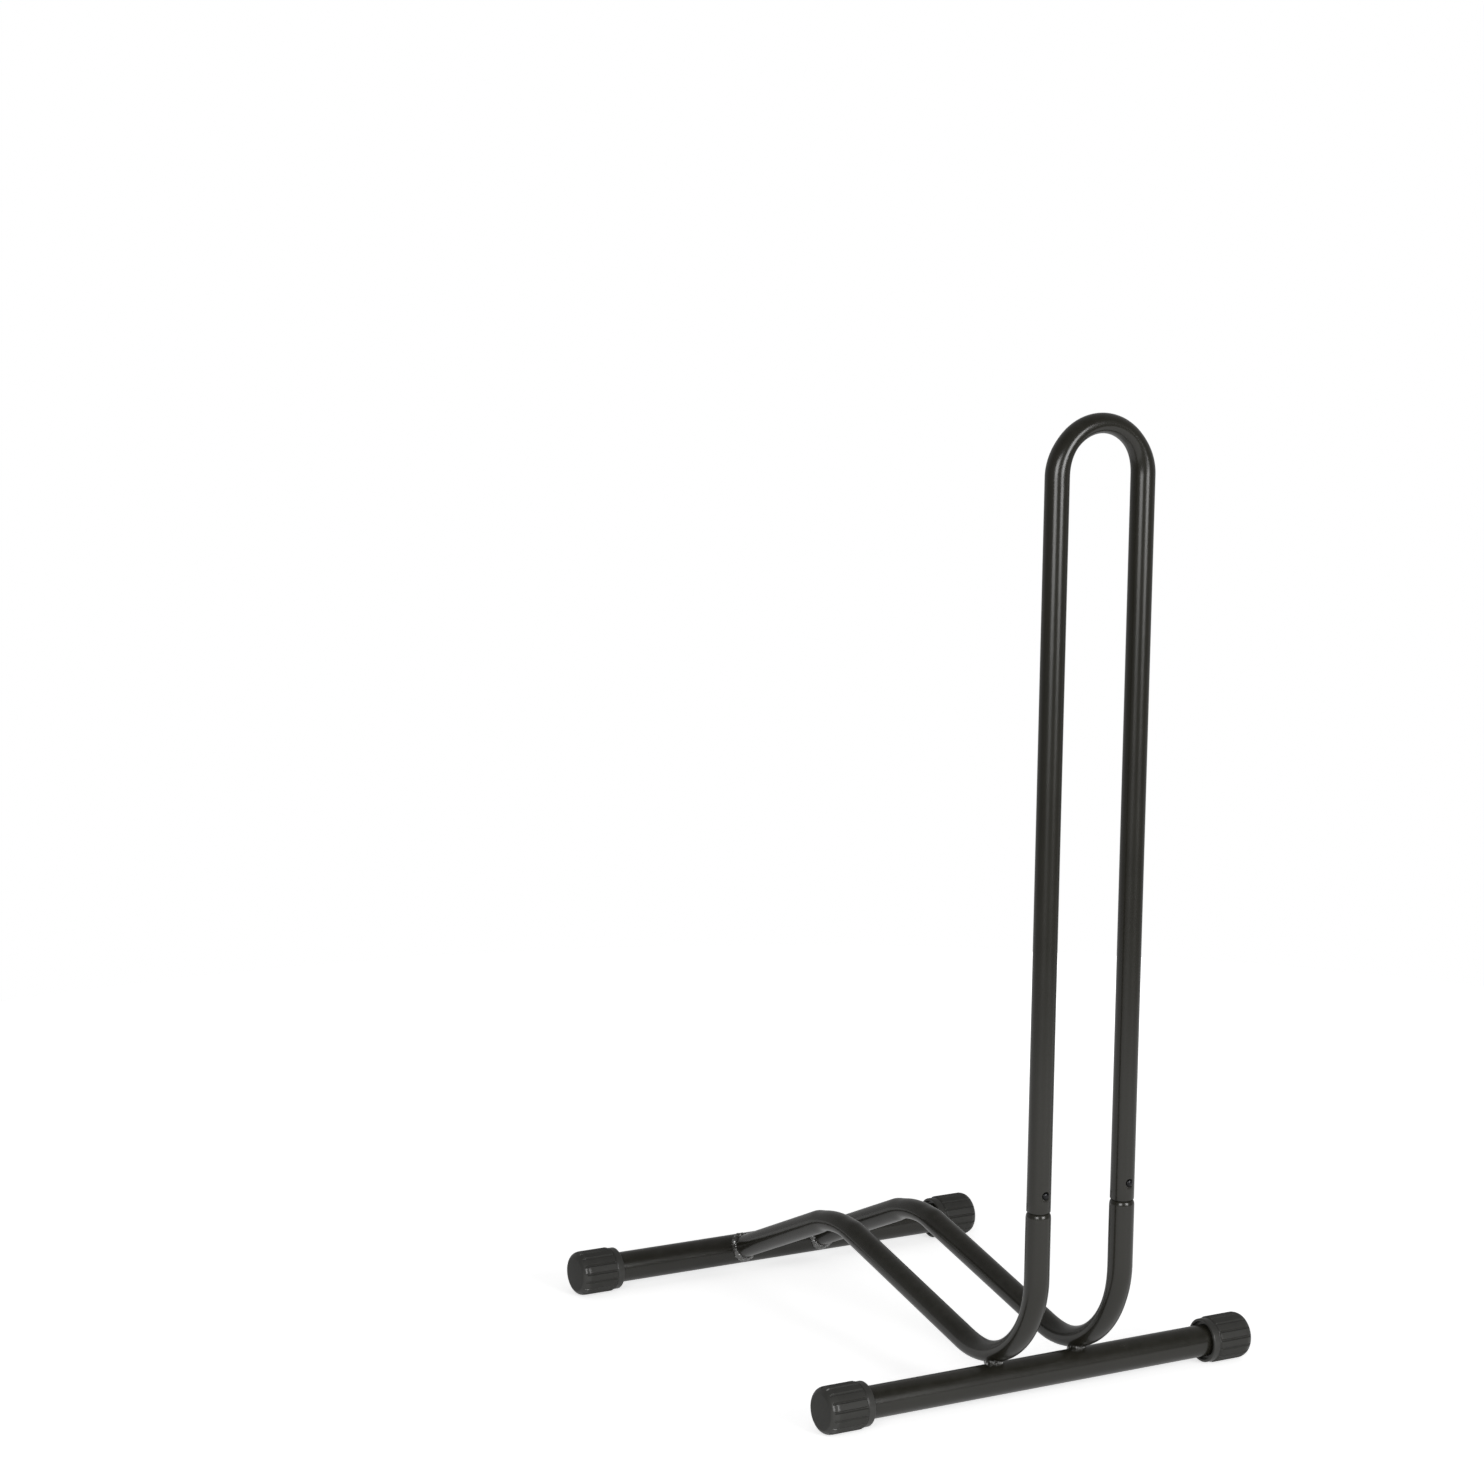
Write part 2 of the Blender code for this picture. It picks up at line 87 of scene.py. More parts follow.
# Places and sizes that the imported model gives
AXIS_HEIGHT = middle("front_ground_tube", Z)
TUBE_AXIS = {"front": middle("front_ground_tube", Y), "rear": middle("rear_ground_tube", Y)}
TUBE_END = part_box("front_ground_tube")[1].x
HOOP_PLANE = middle("hoop", Y)
RAIL_HALF_SPACING = middle("right_rail", X)
HOOP_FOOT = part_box("hoop")[0].z
HOOP_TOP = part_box("hoop")[1].z
SPIGOT_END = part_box("left_rail")[1].z
CAP_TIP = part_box("front_right_end_cap")[1].x
CAP_LENGTH = width("front_right_end_cap", X)
CAP_FLAT_RADIUS = width("front_right_end_cap", Z) / 2
BUTTON_LEVEL = middle("left_snap_button", Z)

# How finely the pieces are divided
TUBE_SIDES = 64
BEND_STEPS = 36
HOOP_BEND_STEPS = 64
SHOULDER_STEPS = 8
HOLE_SIDES = 48
SMOOTH_ANGLE = radians(32)
ROUND_ANGLE = radians(60)
ROUND_STEPS = 2
BEND_RAMP = 0.25
MERGE_DISTANCE = 1e-6
OVERRUN = 0.012
END_RUN = 0.003


def length(label, default, note):
    """A size property in metres."""
    return FloatProperty(
        name=label, default=default, description=note, unit="LENGTH", precision=5, min=-1.0
    )


def share(label, default, note):
    """A property between 0 and 1."""
    return FloatProperty(name=label, default=default, description=note, subtype="FACTOR", min=0.0, max=1.0)


def colour(label, default, note):
    """A linear colour property."""
    return FloatVectorProperty(
        name=label, default=default, description=note, subtype="COLOR", size=3, min=0.0, max=1.0
    )


class StandSizes(bpy.types.PropertyGroup):
    """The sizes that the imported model's boxes don't give, and those of its tubes."""

    ground_radius: length("Ground tube radius", width("front_ground_tube", Y) / 2, "Outer radius")
    ground_wall: length("Ground tube wall", 0.0015, "Wall of the ground tubes")
    rail_radius: length("Rail radius", width("right_rail", X) / 2, "Outer radius of the rails")
    rail_wall: length("Rail wall", 0.0015, "Wall of the rails")
    crest_back: length("Crest", 0.233, "From the front tube's axis back to the corner of the hump")
    crest_height: length("Crest height", 0.0690, "Corner of the hump above the tubes' axes")
    crest_bend: length("Crest bend", 0.090, "Centre line radius over the hump")
    toe_height: length("Toe height", -0.0042, "Corner of the toe above the tubes' axes")
    toe_bend: length("Toe bend", 0.075, "Centre line radius at the toe")
    rail_bend_thickness: share("Rail bend thickness", 0.86, "How thick a flattened bend stays")
    shoulder_start: length("Shoulder", 0.1403, "Where the rail begins to neck, above the tubes' axes")
    shoulder_height: length("Shoulder height", 0.0042, "Height of the rounded shoulder")
    spigot_radius: length("Spigot radius", 0.0077, "Outer radius of the necked end of the rail")
    hoop_radius: length("Hoop radius", width("hoop", Y) / 2, "Outer radius of the hoop's tube")
    hoop_wall: length("Hoop wall", 0.0012, "Wall of the hoop's tube")
    hoop_bend_thickness: share("Hoop bend thickness", 0.815, "How thick the flattened hoop bend stays")
    edge_round: length("Tube end round", 0.0005, "Rounding of a cut tube end")
    hole_radius: length("Button hole", 0.00315, "Radius of the holes for the snap buttons")
    button_radius: length("Button radius", 0.00275, "Radius of a snap button's pin")
    button_flange: length("Button flange", 0.0009, "Thickness of a snap button's flange")
    button_dome: length("Button dome", 0.0013, "Height of a snap button's domed tip")
    spring_thickness: length("Spring thickness", 0.0006, "Thickness of the spring strip")
    cap_lands: IntProperty(name="Cap lands", default=16, min=3, description="Flat lands round a cap")
    cap_end_thickness: length("Cap end", 0.0030, "Thickness of a cap's closed end")
    cap_end_radius: length("Cap end face", 0.0125, "Radius where the domed end begins to round off")
    cap_edge_depth: length("Cap edge", 0.0075, "How far back the domed end reaches")
    cap_groove_width: length("Groove width", 0.0022, "Width of the grooves between the lands")
    cap_groove_depth: length("Groove depth", 0.0011, "Depth of the grooves")
    cap_groove_start: length("Groove start", 0.0028, "From the cap's tip to its grooves")
    cap_groove_run: length("Groove run", 0.0014, "How far a groove takes to reach its full depth")
    cap_collar_length: length("Collar length", 0.0070, "Length of the plain collar at the mouth")
    cap_collar_radius: length("Collar radius", 0.0173, "Radius of the collar")
    cap_lip: length("Cap lip", 0.0008, "Rounding at the mouth")
    cap_recess_radius: length("Mouth recess", 0.0153, "Radius of the recess in the mouth")
    cap_recess_depth: length("Recess depth", 0.0030, "Depth of the recess in the mouth")
    cap_bore_gap: length("Cap bore gap", 0.00025, "Clearance of the mouth round the tube")
    front_weld_radius: length("Front weld radius", 0.0024, "Radius of the weld beads on the front tube")
    rear_weld_radius: length("Rear weld radius", 0.0018, "Radius of the weld beads on the rear tube")
    weld_pitch: length("Weld pitch", 0.0019, "From one ripple of the weld to the next")


class StandFinishes(bpy.types.PropertyGroup):
    """The colours and the gloss of the stand."""

    coat: colour("Powder coat", (0.0145, 0.0137, 0.0100), "Satin black of the tubes")
    coat_roughness: share("Coat roughness", 0.24, "Roughness of the powder coat")
    plastic: colour("Cap plastic", (0.0300, 0.0297, 0.0268), "Moulded black of the end caps")
    plastic_roughness: share("Plastic roughness", 0.58, "Roughness of the end caps")
    button: colour("Snap button", (0.026, 0.026, 0.027), "Blacked steel")
    spring: colour("Snap spring", (0.45, 0.45, 0.46), "Bright spring steel")
    dust: colour("Dust", (0.19, 0.18, 0.165), "Fine dust on what faces up")


class StandStudio(bpy.types.PropertyGroup):
    """The floor, the lamps and the surroundings."""

    floor: colour("Floor", (0.82, 0.82, 0.82), "The pale floor")
    surroundings: FloatProperty(
        name="Surroundings", default=0.34, min=0.0, description="Brightness of the air round the stand"
    )
    left_glow: FloatProperty(
        name="Left softbox", default=7.0, min=0.0, description="Radiance of the left softbox's front"
    )
    right_glow: FloatProperty(
        name="Right softbox", default=8.5, min=0.0, description="Radiance of the right softbox's front"
    )


# Modelling by hand: what is selected, edit mode, and the few tools that every piece uses

def only(piece):
    """Select one piece and nothing else."""
    bpy.ops.object.select_all(action="DESELECT")
    piece.select_set(True)
    bpy.context.view_layer.objects.active = piece


@contextmanager
def editing(piece, kind="VERT"):
    """Edit mode on one piece for as long as a with block lasts."""
    only(piece)
    bpy.ops.object.mode_set(mode="EDIT")
    bpy.ops.mesh.select_mode(type=kind)
    try:
        yield
    finally:
        bpy.ops.object.mode_set(mode="OBJECT")


def select_points(piece, chosen):
    """Select the points whose places pass a test, and what lies between them."""
    bpy.ops.mesh.select_all(action="DESELECT")
    mesh = bmesh.from_edit_mesh(piece.data)
    for vertex in mesh.verts:
        vertex.select_set(chosen(vertex.co))
    mesh.select_flush(True)


def select_edges(piece, chosen):
    """Select the edges that pass a test."""
    bpy.ops.mesh.select_all(action="DESELECT")
    for edge in bmesh.from_edit_mesh(piece.data).edges:
        edge.select_set(chosen(edge))


def take(name):
    """Name the primitive that was just added, with its place moved into its mesh."""
    piece = bpy.context.object
    piece.name = name
    piece.data.name = name
    bpy.ops.object.transform_apply(location=True, rotation=True, scale=True)
    return piece


def open_ring(name, place, radius, sides=TUBE_SIDES, turned=(0.0, 0.0, 0.0)):
    """A circle to draw a tube from. Unturned it lies flat."""
    bpy.ops.object.select_all(action="DESELECT")
    bpy.ops.mesh.primitive_circle_add(vertices=sides, radius=radius, location=place, rotation=turned)
    return take(name)


def extrude(by):
    bpy.ops.mesh.extrude_region_move(TRANSFORM_OT_translate={"value": by})


def spin(steps, sweep, centre, axis):
    """Spin what is selected by the right-hand rule. The tool itself turns the other way."""
    bpy.ops.mesh.spin(steps=steps, angle=-sweep, center=centre, axis=axis)


def resize(by, centre):
    bpy.ops.transform.resize(value=(by, by, by), center_override=centre)


def draw_outline(outline, centre, axis, radius):
    """Carry the selected ring along an axis, to each level and radius of an outline in turn."""
    centre = Vector(centre)
    for level, new_radius in outline:
        step = Vector()
        step[axis] = level - centre[axis]
        extrude(step)
        centre[axis] = level
        if new_radius != radius:
            resize(new_radius / radius, centre)
        radius = new_radius


def apply_modifier(piece, modifier):
    only(piece)
    bpy.ops.object.modifier_apply(modifier=modifier.name)


def face_out(piece):
    """Merge what meets, and turn every face to the outside."""
    with editing(piece):
        bpy.ops.mesh.select_all(action="SELECT")
        bpy.ops.mesh.remove_doubles(threshold=MERGE_DISTANCE)
        bpy.ops.mesh.normals_make_consistent(inside=False)


def give_wall(piece, thickness):
    """Turn an open skin into a tube with a wall on its inner side."""
    wall = piece.modifiers.new("wall", "SOLIDIFY")
    wall.thickness = thickness
    wall.offset = -1.0
    wall.use_even_offset = True
    apply_modifier(piece, wall)


def soften(piece, radius):
    """Round every sharp edge."""
    rounding = piece.modifiers.new("rounding", "BEVEL")
    rounding.width = radius
    rounding.segments = ROUND_STEPS
    rounding.limit_method = "ANGLE"
    rounding.angle_limit = ROUND_ANGLE
    rounding.use_clamp_overlap = True
    apply_modifier(piece, rounding)


def drill(piece, start, end, radius):
    """Cut a round hole between two points."""
    along = end - start
    bpy.ops.object.select_all(action="DESELECT")
    bpy.ops.mesh.primitive_cylinder_add(
        vertices=HOLE_SIDES,
        radius=radius,
        depth=along.length,
        location=(start + end) / 2,
        rotation=along.to_track_quat("Z", "Y").to_euler(),
    )
    cutter = take("drill")
    hole = piece.modifiers.new("hole", "BOOLEAN")
    hole.operation = "DIFFERENCE"
    hole.solver = "EXACT"
    hole.object = cutter
    apply_modifier(piece, hole)
    bpy.data.objects.remove(cutter, do_unlink=True)


def drill_button_hole(piece, sizes, x):
    """Cut the hole in the front of a leg that its snap button comes through."""
    start = Vector((x, HOOP_PLANE, BUTTON_LEVEL))
    drill(piece, start, start - Vector((0.0, OVERRUN, 0.0)), sizes.hole_radius)


def finish_piece(piece, slot, node, body=None):
    """Smooth a piece, paint it, and put it on its body, if it has one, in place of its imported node."""
    only(piece)
    bpy.ops.object.shade_smooth_by_angle(angle=SMOOTH_ANGLE)
    piece.data.materials.clear()
    piece.data.materials.append(material_for(slot))
    if body:
        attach(piece, body)
    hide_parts(node)


# Bent tube

class Bend:
    """An arc of tube. It turns about an axis that lies a radius inward of its start."""

    def __init__(self, start, inward, axis, radius, sweep):
        self.start = start
        self.centre = start + inward * radius
        self.axis = axis
        self.radius = radius
        self.sweep = sweep

    def draw(self, steps):
        """Spin the selected ring round the arc."""
        spin(steps, self.sweep, self.centre, self.axis)

    def flatten(self, piece, thickness):
        """Thin the tube between the inside and the outside of the bend, as a tube bender does."""
        across = self.start - self.centre
        for vertex in piece.data.vertices:
            arm = vertex.co - self.centre
            arm -= self.axis * arm.dot(self.axis)
            turn = atan2(across.cross(arm).dot(self.axis), across.dot(arm))
            part = turn / self.sweep
            if 0 < part < 1:
                factor = 1 - (1 - thickness) * flattening(part)
                stretched = self.radius + (arm.length - self.radius) * factor
                vertex.co += arm * (stretched / arm.length - 1)


class CornerBend(Bend):
    """The arc that joins two straight runs."""

    def __init__(self, before, corner, after, radius):
        into = (corner - before).normalized()
        out = (after - corner).normalized()
        sweep = into.angle(out)
        reach = radius * tan(sweep / 2)
        axis = into.cross(out).normalized()
        super().__init__(corner - into * reach, axis.cross(into), axis, radius, sweep)
        self.end = corner + out * reach


def eased(part):
    """0 to 1 with a gentle start and end."""
    part = min(max(part, 0.0), 1.0)
    return part * part * (3 - 2 * part)


def flattening(part):
    """0 at the two ends of a bend and 1 over its middle."""
    return eased(min(part, 1 - part) / BEND_RAMP)


def rail_corners(sizes, side):
    """The rail's corners from its top down: the shoulder, the toe, the crest and the rear tube."""
    x = side * RAIL_HALF_SPACING
    front = TUBE_AXIS["front"]
    top = Vector((x, HOOP_PLANE, AXIS_HEIGHT + sizes.shoulder_start))
    toe = Vector((x, HOOP_PLANE, AXIS_HEIGHT + sizes.toe_height))
    crest = Vector((x, front + sizes.crest_back, AXIS_HEIGHT + sizes.crest_height))
    rear = Vector((x, TUBE_AXIS["rear"], AXIS_HEIGHT))
    return top, toe, crest, rear


def neck_outline(sizes, shoulder):
    """Levels and radii from below the tip of a spigot down to the foot of its shoulder."""
    outline = [
        (BUTTON_LEVEL + OVERRUN / 2, sizes.spigot_radius),
        (BUTTON_LEVEL - OVERRUN / 2, sizes.spigot_radius),
        (shoulder + sizes.shoulder_height, sizes.spigot_radius),
    ]
    step_in = sizes.rail_radius - sizes.spigot_radius
    for step in range(1, SHOULDER_STEPS + 1):
        turn = pi / 2 * (1 - step / SHOULDER_STEPS)
        radius = sizes.spigot_radius + step_in * cos(turn)
        outline.append((shoulder + sizes.shoulder_height * sin(turn), radius))
    return outline


def model_rail(name, sizes, side):
    """Draw the rail from the tip of its spigot down and back to the rear tube."""
    top, toe, crest, rear = rail_corners(sizes, side)
    toe_bend = CornerBend(top, toe, crest, sizes.toe_bend)
    crest_bend = CornerBend(toe, crest, rear, sizes.crest_bend)
    tip = (top.x, top.y, SPIGOT_END)
    rail = open_ring(name, tip, sizes.spigot_radius)
    with editing(rail):
        bpy.ops.mesh.select_all(action="SELECT")
        draw_outline(neck_outline(sizes, top.z), tip, Z, sizes.spigot_radius)
        extrude(toe_bend.start - top)
        toe_bend.draw(BEND_STEPS)
        extrude(crest_bend.start - toe_bend.end)
        crest_bend.draw(BEND_STEPS)
        extrude(rear - crest_bend.end)
    face_out(rail)
    toe_bend.flatten(rail, sizes.rail_bend_thickness)
    crest_bend.flatten(rail, sizes.rail_bend_thickness)
    give_wall(rail, sizes.rail_wall)
    across = Vector((OVERRUN, 0.0, 0.0))
    drill(rail, rear - across, rear + across, sizes.ground_radius - MERGE_DISTANCE)
    drill_button_hole(rail, sizes, top.x)
    return rail


def model_hoop(name, sizes):
    """Draw the hoop up its left leg, over the bend and down its right leg."""
    bend_height = HOOP_TOP - sizes.hoop_radius * sizes.hoop_bend_thickness - RAIL_HALF_SPACING
    left = Vector((-RAIL_HALF_SPACING, HOOP_PLANE, bend_height))
    bend = Bend(left, Vector((1.0, 0.0, 0.0)), Vector((0.0, 1.0, 0.0)), RAIL_HALF_SPACING, pi)
    levels = (HOOP_FOOT, BUTTON_LEVEL - OVERRUN / 2, BUTTON_LEVEL + OVERRUN / 2, bend_height)
    hoop = open_ring(name, (left.x, left.y, HOOP_FOOT), sizes.hoop_radius)
    with editing(hoop):
        bpy.ops.mesh.select_all(action="SELECT")
        for low, high in zip(levels, levels[1:]):
            extrude((0.0, 0.0, high - low))
        bend.draw(HOOP_BEND_STEPS)
        for low, high in zip(reversed(levels[:-1]), reversed(levels)):
            extrude((0.0, 0.0, low - high))
    face_out(hoop)
    bend.flatten(hoop, sizes.hoop_bend_thickness)
    give_wall(hoop, sizes.hoop_wall)
    for _, side in SIDES:
        drill_button_hole(hoop, sizes, side * RAIL_HALF_SPACING)
    return hoop


def model_ground_tube(name, sizes, axis_y):
    """Draw a straight tube from its left end to its right end."""
    left = (-TUBE_END, axis_y, AXIS_HEIGHT)
    tube = open_ring(name, left, sizes.ground_radius, turned=(pi / 2, 0.0, pi / 2))
    with editing(tube):
        bpy.ops.mesh.select_all(action="SELECT")
        for run in (END_RUN, 2 * (TUBE_END - END_RUN), END_RUN):
            extrude((run, 0.0, 0.0))
    face_out(tube)
    give_wall(tube, sizes.ground_wall)
    return tube


# End caps

LAND_STEPS = 4
GROOVE_STEPS = 10
CAP_EDGE_STEPS = 14
CAP_RUN_STEPS = 6
CAP_STEP_STEPS = 3
CAP_LIP_STEPS = 4
# The small features of a cap's outside
CAP_STEP = 0.0006
CAP_SUPPORT = 0.0006
CAP_GROOVE_STEEPNESS = 1.5
CAP_GROOVE_SPREAD = 1.3
CAP_NECK = 0.0008
CAP_NECK_DEPTH = 0.0006
CAP_LAND_CROWN = 0.35
CAP_END_RISE = 0.0005
CAP_END_RINGS = 5


def cap_depths(sizes):
    """How far from the tip each ring of a cap's outside lies, tip first."""
    groove_end = CAP_LENGTH - sizes.cap_collar_length
    depths = {sizes.cap_edge_depth + CAP_SUPPORT, groove_end - CAP_STEP - CAP_SUPPORT}
    for step in range(CAP_EDGE_STEPS + 1):
        depths.add(sizes.cap_edge_depth * (1 - cos(pi / 2 * step / CAP_EDGE_STEPS)))
    for step in range(CAP_RUN_STEPS + 1):
        depths.add(sizes.cap_groove_start + sizes.cap_groove_run * step / CAP_RUN_STEPS)
    for step in range(-CAP_STEP_STEPS, 3 * CAP_STEP_STEPS + 1):
        depths.add(groove_end + CAP_STEP * step / CAP_STEP_STEPS)
    for step in range(CAP_LIP_STEPS + 1):
        depths.add(CAP_LENGTH - sizes.cap_lip * (1 - sin(pi / 2 * step / CAP_LIP_STEPS)))
    return sorted(depths)


def cap_radius(sizes, turn, depth):
    """The radius of a cap's outside at a turn round it and a depth from its tip."""
    pitch = 2 * pi / sizes.cap_lands
    off_land = abs((turn + pitch / 2) % pitch - pitch / 2)
    groove_half = sizes.cap_groove_width / 2
    groove_end = CAP_LENGTH - sizes.cap_collar_length
    flat = 1 / cos(min(off_land, pitch / 2 - groove_half / CAP_FLAT_RADIUS))
    land = CAP_FLAT_RADIUS * (1 + (flat - 1) * CAP_LAND_CROWN)
    edge = min(depth / sizes.cap_edge_depth, 1.0)
    dome = sqrt(max(1 - (1 - edge) ** 2, 0.0))
    rounded = CAP_FLAT_RADIUS + (land - CAP_FLAT_RADIUS) * eased(edge)
    body = sizes.cap_end_radius + (rounded - sizes.cap_end_radius) * dome
    inside = 1 - min((pitch / 2 - off_land) * CAP_FLAT_RADIUS / groove_half, 1.0)
    run_in = min(max((depth - sizes.cap_groove_start) / sizes.cap_groove_run, 0.0), 1.0)
    body -= sizes.cap_groove_depth * eased(inside * CAP_GROOVE_STEEPNESS) * sqrt(1 - (1 - run_in) ** 2)
    lip = max(0.0, 1 - (CAP_LENGTH - depth) / sizes.cap_lip)
    collar = sizes.cap_collar_radius - sizes.cap_lip * (1 - sqrt(max(1 - lip * lip, 0.0)))
    collar -= CAP_NECK_DEPTH * (1 - eased(abs(depth - groove_end - CAP_NECK) / CAP_NECK))
    return body + (collar - body) * eased((depth - groove_end) / CAP_STEP / 2 + 0.5)


def draw_cap_side(cap, sizes, inward):
    """Divide the ring into lands and grooves, and draw it from the tip to the mouth."""
    groove_half = sizes.cap_groove_width / 2 * sizes.cap_end_radius / CAP_FLAT_RADIUS
    corner = groove_half * CAP_GROOVE_SPREAD
    depths = cap_depths(sizes)
    with editing(cap):
        bpy.ops.mesh.select_all(action="SELECT")
        bpy.ops.mesh.bevel(affect="VERTICES", offset=corner, segments=GROOVE_STEPS)
        select_edges(cap, lambda edge: edge.calc_length() > groove_half * 2)
        bpy.ops.mesh.subdivide(number_cuts=LAND_STEPS - 1)
        bpy.ops.mesh.select_all(action="SELECT")
        for before, after in zip(depths, depths[1:]):
            extrude(inward * (after - before))


def shape_cap_side(cap, sizes, centre, inward):
    """Move every point of the side out to the cap's radius there, and dome the rim of the end."""
    for vertex in cap.data.vertices:
        arm = vertex.co - centre
        depth = arm.dot(inward)
        arm -= inward * depth
        turn = atan2(arm.y, -arm.z)
        vertex.co += arm * (cap_radius(sizes, turn, depth) / arm.length - 1)
        vertex.co += inward * (CAP_END_RISE * (1 - min(depth / sizes.cap_edge_depth, 1.0)) ** 2)


def close_cap_end(cap, centre, inward):
    """Close the tip with a low dome of rings."""
    rim = CAP_END_RISE + MERGE_DISTANCE
    with editing(cap):
        select_points(cap, lambda place: (place - centre).dot(inward) < rim)
        bpy.ops.mesh.edge_face_add()
        for ring in range(1, CAP_END_RINGS):
            left = 1 - ring / CAP_END_RINGS
            wider = left + 1 / CAP_END_RINGS
            extrude(inward * (CAP_END_RISE * (left * left - wider * wider)))
            bpy.ops.transform.resize(value=(1.0, left / wider, left / wider), center_override=centre)


def draw_cap_bore(cap, sizes, centre, inward):
    """Step in at the mouth, and draw the bore back to the closed end."""
    bore = sizes.ground_radius + sizes.cap_bore_gap
    recess = CAP_LENGTH - sizes.cap_recess_depth
    steps = (
        (CAP_LENGTH, sizes.cap_recess_radius),
        (recess, sizes.cap_recess_radius),
        (recess, bore),
        (sizes.cap_end_thickness, bore),
    )
    outline = [(centre.x + inward.x * depth, radius) for depth, radius in steps]
    mouth = centre + inward * CAP_LENGTH
    rim = CAP_LENGTH - MERGE_DISTANCE
    with editing(cap):
        select_points(cap, lambda place: (place - centre).dot(inward) > rim)
        draw_outline(outline, mouth, X, sizes.cap_collar_radius - sizes.cap_lip)
        bpy.ops.mesh.edge_face_add()


def model_cap(name, sizes, side, axis_y):
    """Draw a ribbed cup from its closed end to its mouth and back down its bore."""
    centre = Vector((side * CAP_TIP, axis_y, AXIS_HEIGHT))
    inward = Vector((-side, 0.0, 0.0))
    pitch = 2 * pi / sizes.cap_lands
    corner = sizes.cap_end_radius / cos(pitch / 2)
    cap = open_ring(name, centre, corner, sizes.cap_lands, (pi / 2, pitch / 2, pi / 2))
    draw_cap_side(cap, sizes, inward)
    shape_cap_side(cap, sizes, centre, inward)
    close_cap_end(cap, centre, inward)
    draw_cap_bore(cap, sizes, centre, inward)
    face_out(cap)
    return cap


# Weld beads

WELD_SIDES = 20
WELD_TRIAL_STEPS = 64
WELD_RIPPLE_STEPS = 7
# Ripples and unevenness, as shares of the bead's radius and of the pitch
WELD_RIPPLE_HEIGHT = 0.16
WELD_RIPPLE_LAG = 0.30
WELD_RIPPLE_CREST = 0.35
WELD_RIPPLE_EDGE = 0.7
WELD_UNEVEN = 0.50
WELD_UNEVEN_SCALE = 380.0
WELD_FINE = 0.22
WELD_FINE_SCALE = 1100.0
WELD_SPREAD = 1.35
WELD_SINK = 0.0006
HALVINGS = 40


def rear_weld_line(sizes, side, turn):
    """A point of the crevice where the rail butts on the rear tube, and the way out of the crevice."""
    _, _, crest, rear = rail_corners(sizes, side)
    heading = (crest - rear).normalized()
    upward = Vector((0.0, -heading.z, heading.y))
    rise = (sizes.rail_radius + WELD_SINK) * sin(turn)
    sideways = (sizes.rail_radius + WELD_SINK) * cos(turn)
    reach = sizes.ground_radius + WELD_SINK
    run = sqrt(max(reach * reach - rise * rise, 0.0))
    place = rear + Vector((sideways, 0.0, 0.0)) + upward * rise + heading * run
    from_rail = Vector((cos(turn), 0.0, 0.0)) + upward * sin(turn)
    from_tube = (place - rear - Vector((sideways, 0.0, 0.0))).normalized()
    return place, (from_rail + from_tube).normalized()


def front_weld_line(sizes, side, turn):
    """A point of the crevice where the rail lies on the front tube, and the way out of the crevice."""
    top, toe, crest, _ = rail_corners(sizes, side)
    bend = CornerBend(top, toe, crest, sizes.toe_bend)
    reach = sizes.ground_radius + WELD_SINK
    rail = sizes.rail_radius
    half_thickness = rail * sizes.rail_bend_thickness
    x = side * RAIL_HALF_SPACING

    def on_tube(spread):
        along = spread * sin(turn)
        lift = sqrt(max(reach * reach - along * along, 0.0))
        return Vector((x + spread * cos(turn), TUBE_AXIS["front"] + along, AXIS_HEIGHT + lift))

    def clearance(place):
        off = hypot(place.y - bend.centre.y, place.z - bend.centre.z) - bend.radius
        across = place.x - x
        spread = hypot(across, off)
        skin = 1 / hypot(across / spread / rail, off / spread / half_thickness)
        return spread - skin

    low = 0.0
    high = reach
    for _ in range(HALVINGS):
        tried = (low + high) / 2
        if clearance(on_tube(tried)) < WELD_SINK:
            low = tried
        else:
            high = tried
    place = on_tube(low)
    outward = Vector((cos(turn), sin(turn), 0.0))
    return place, outward


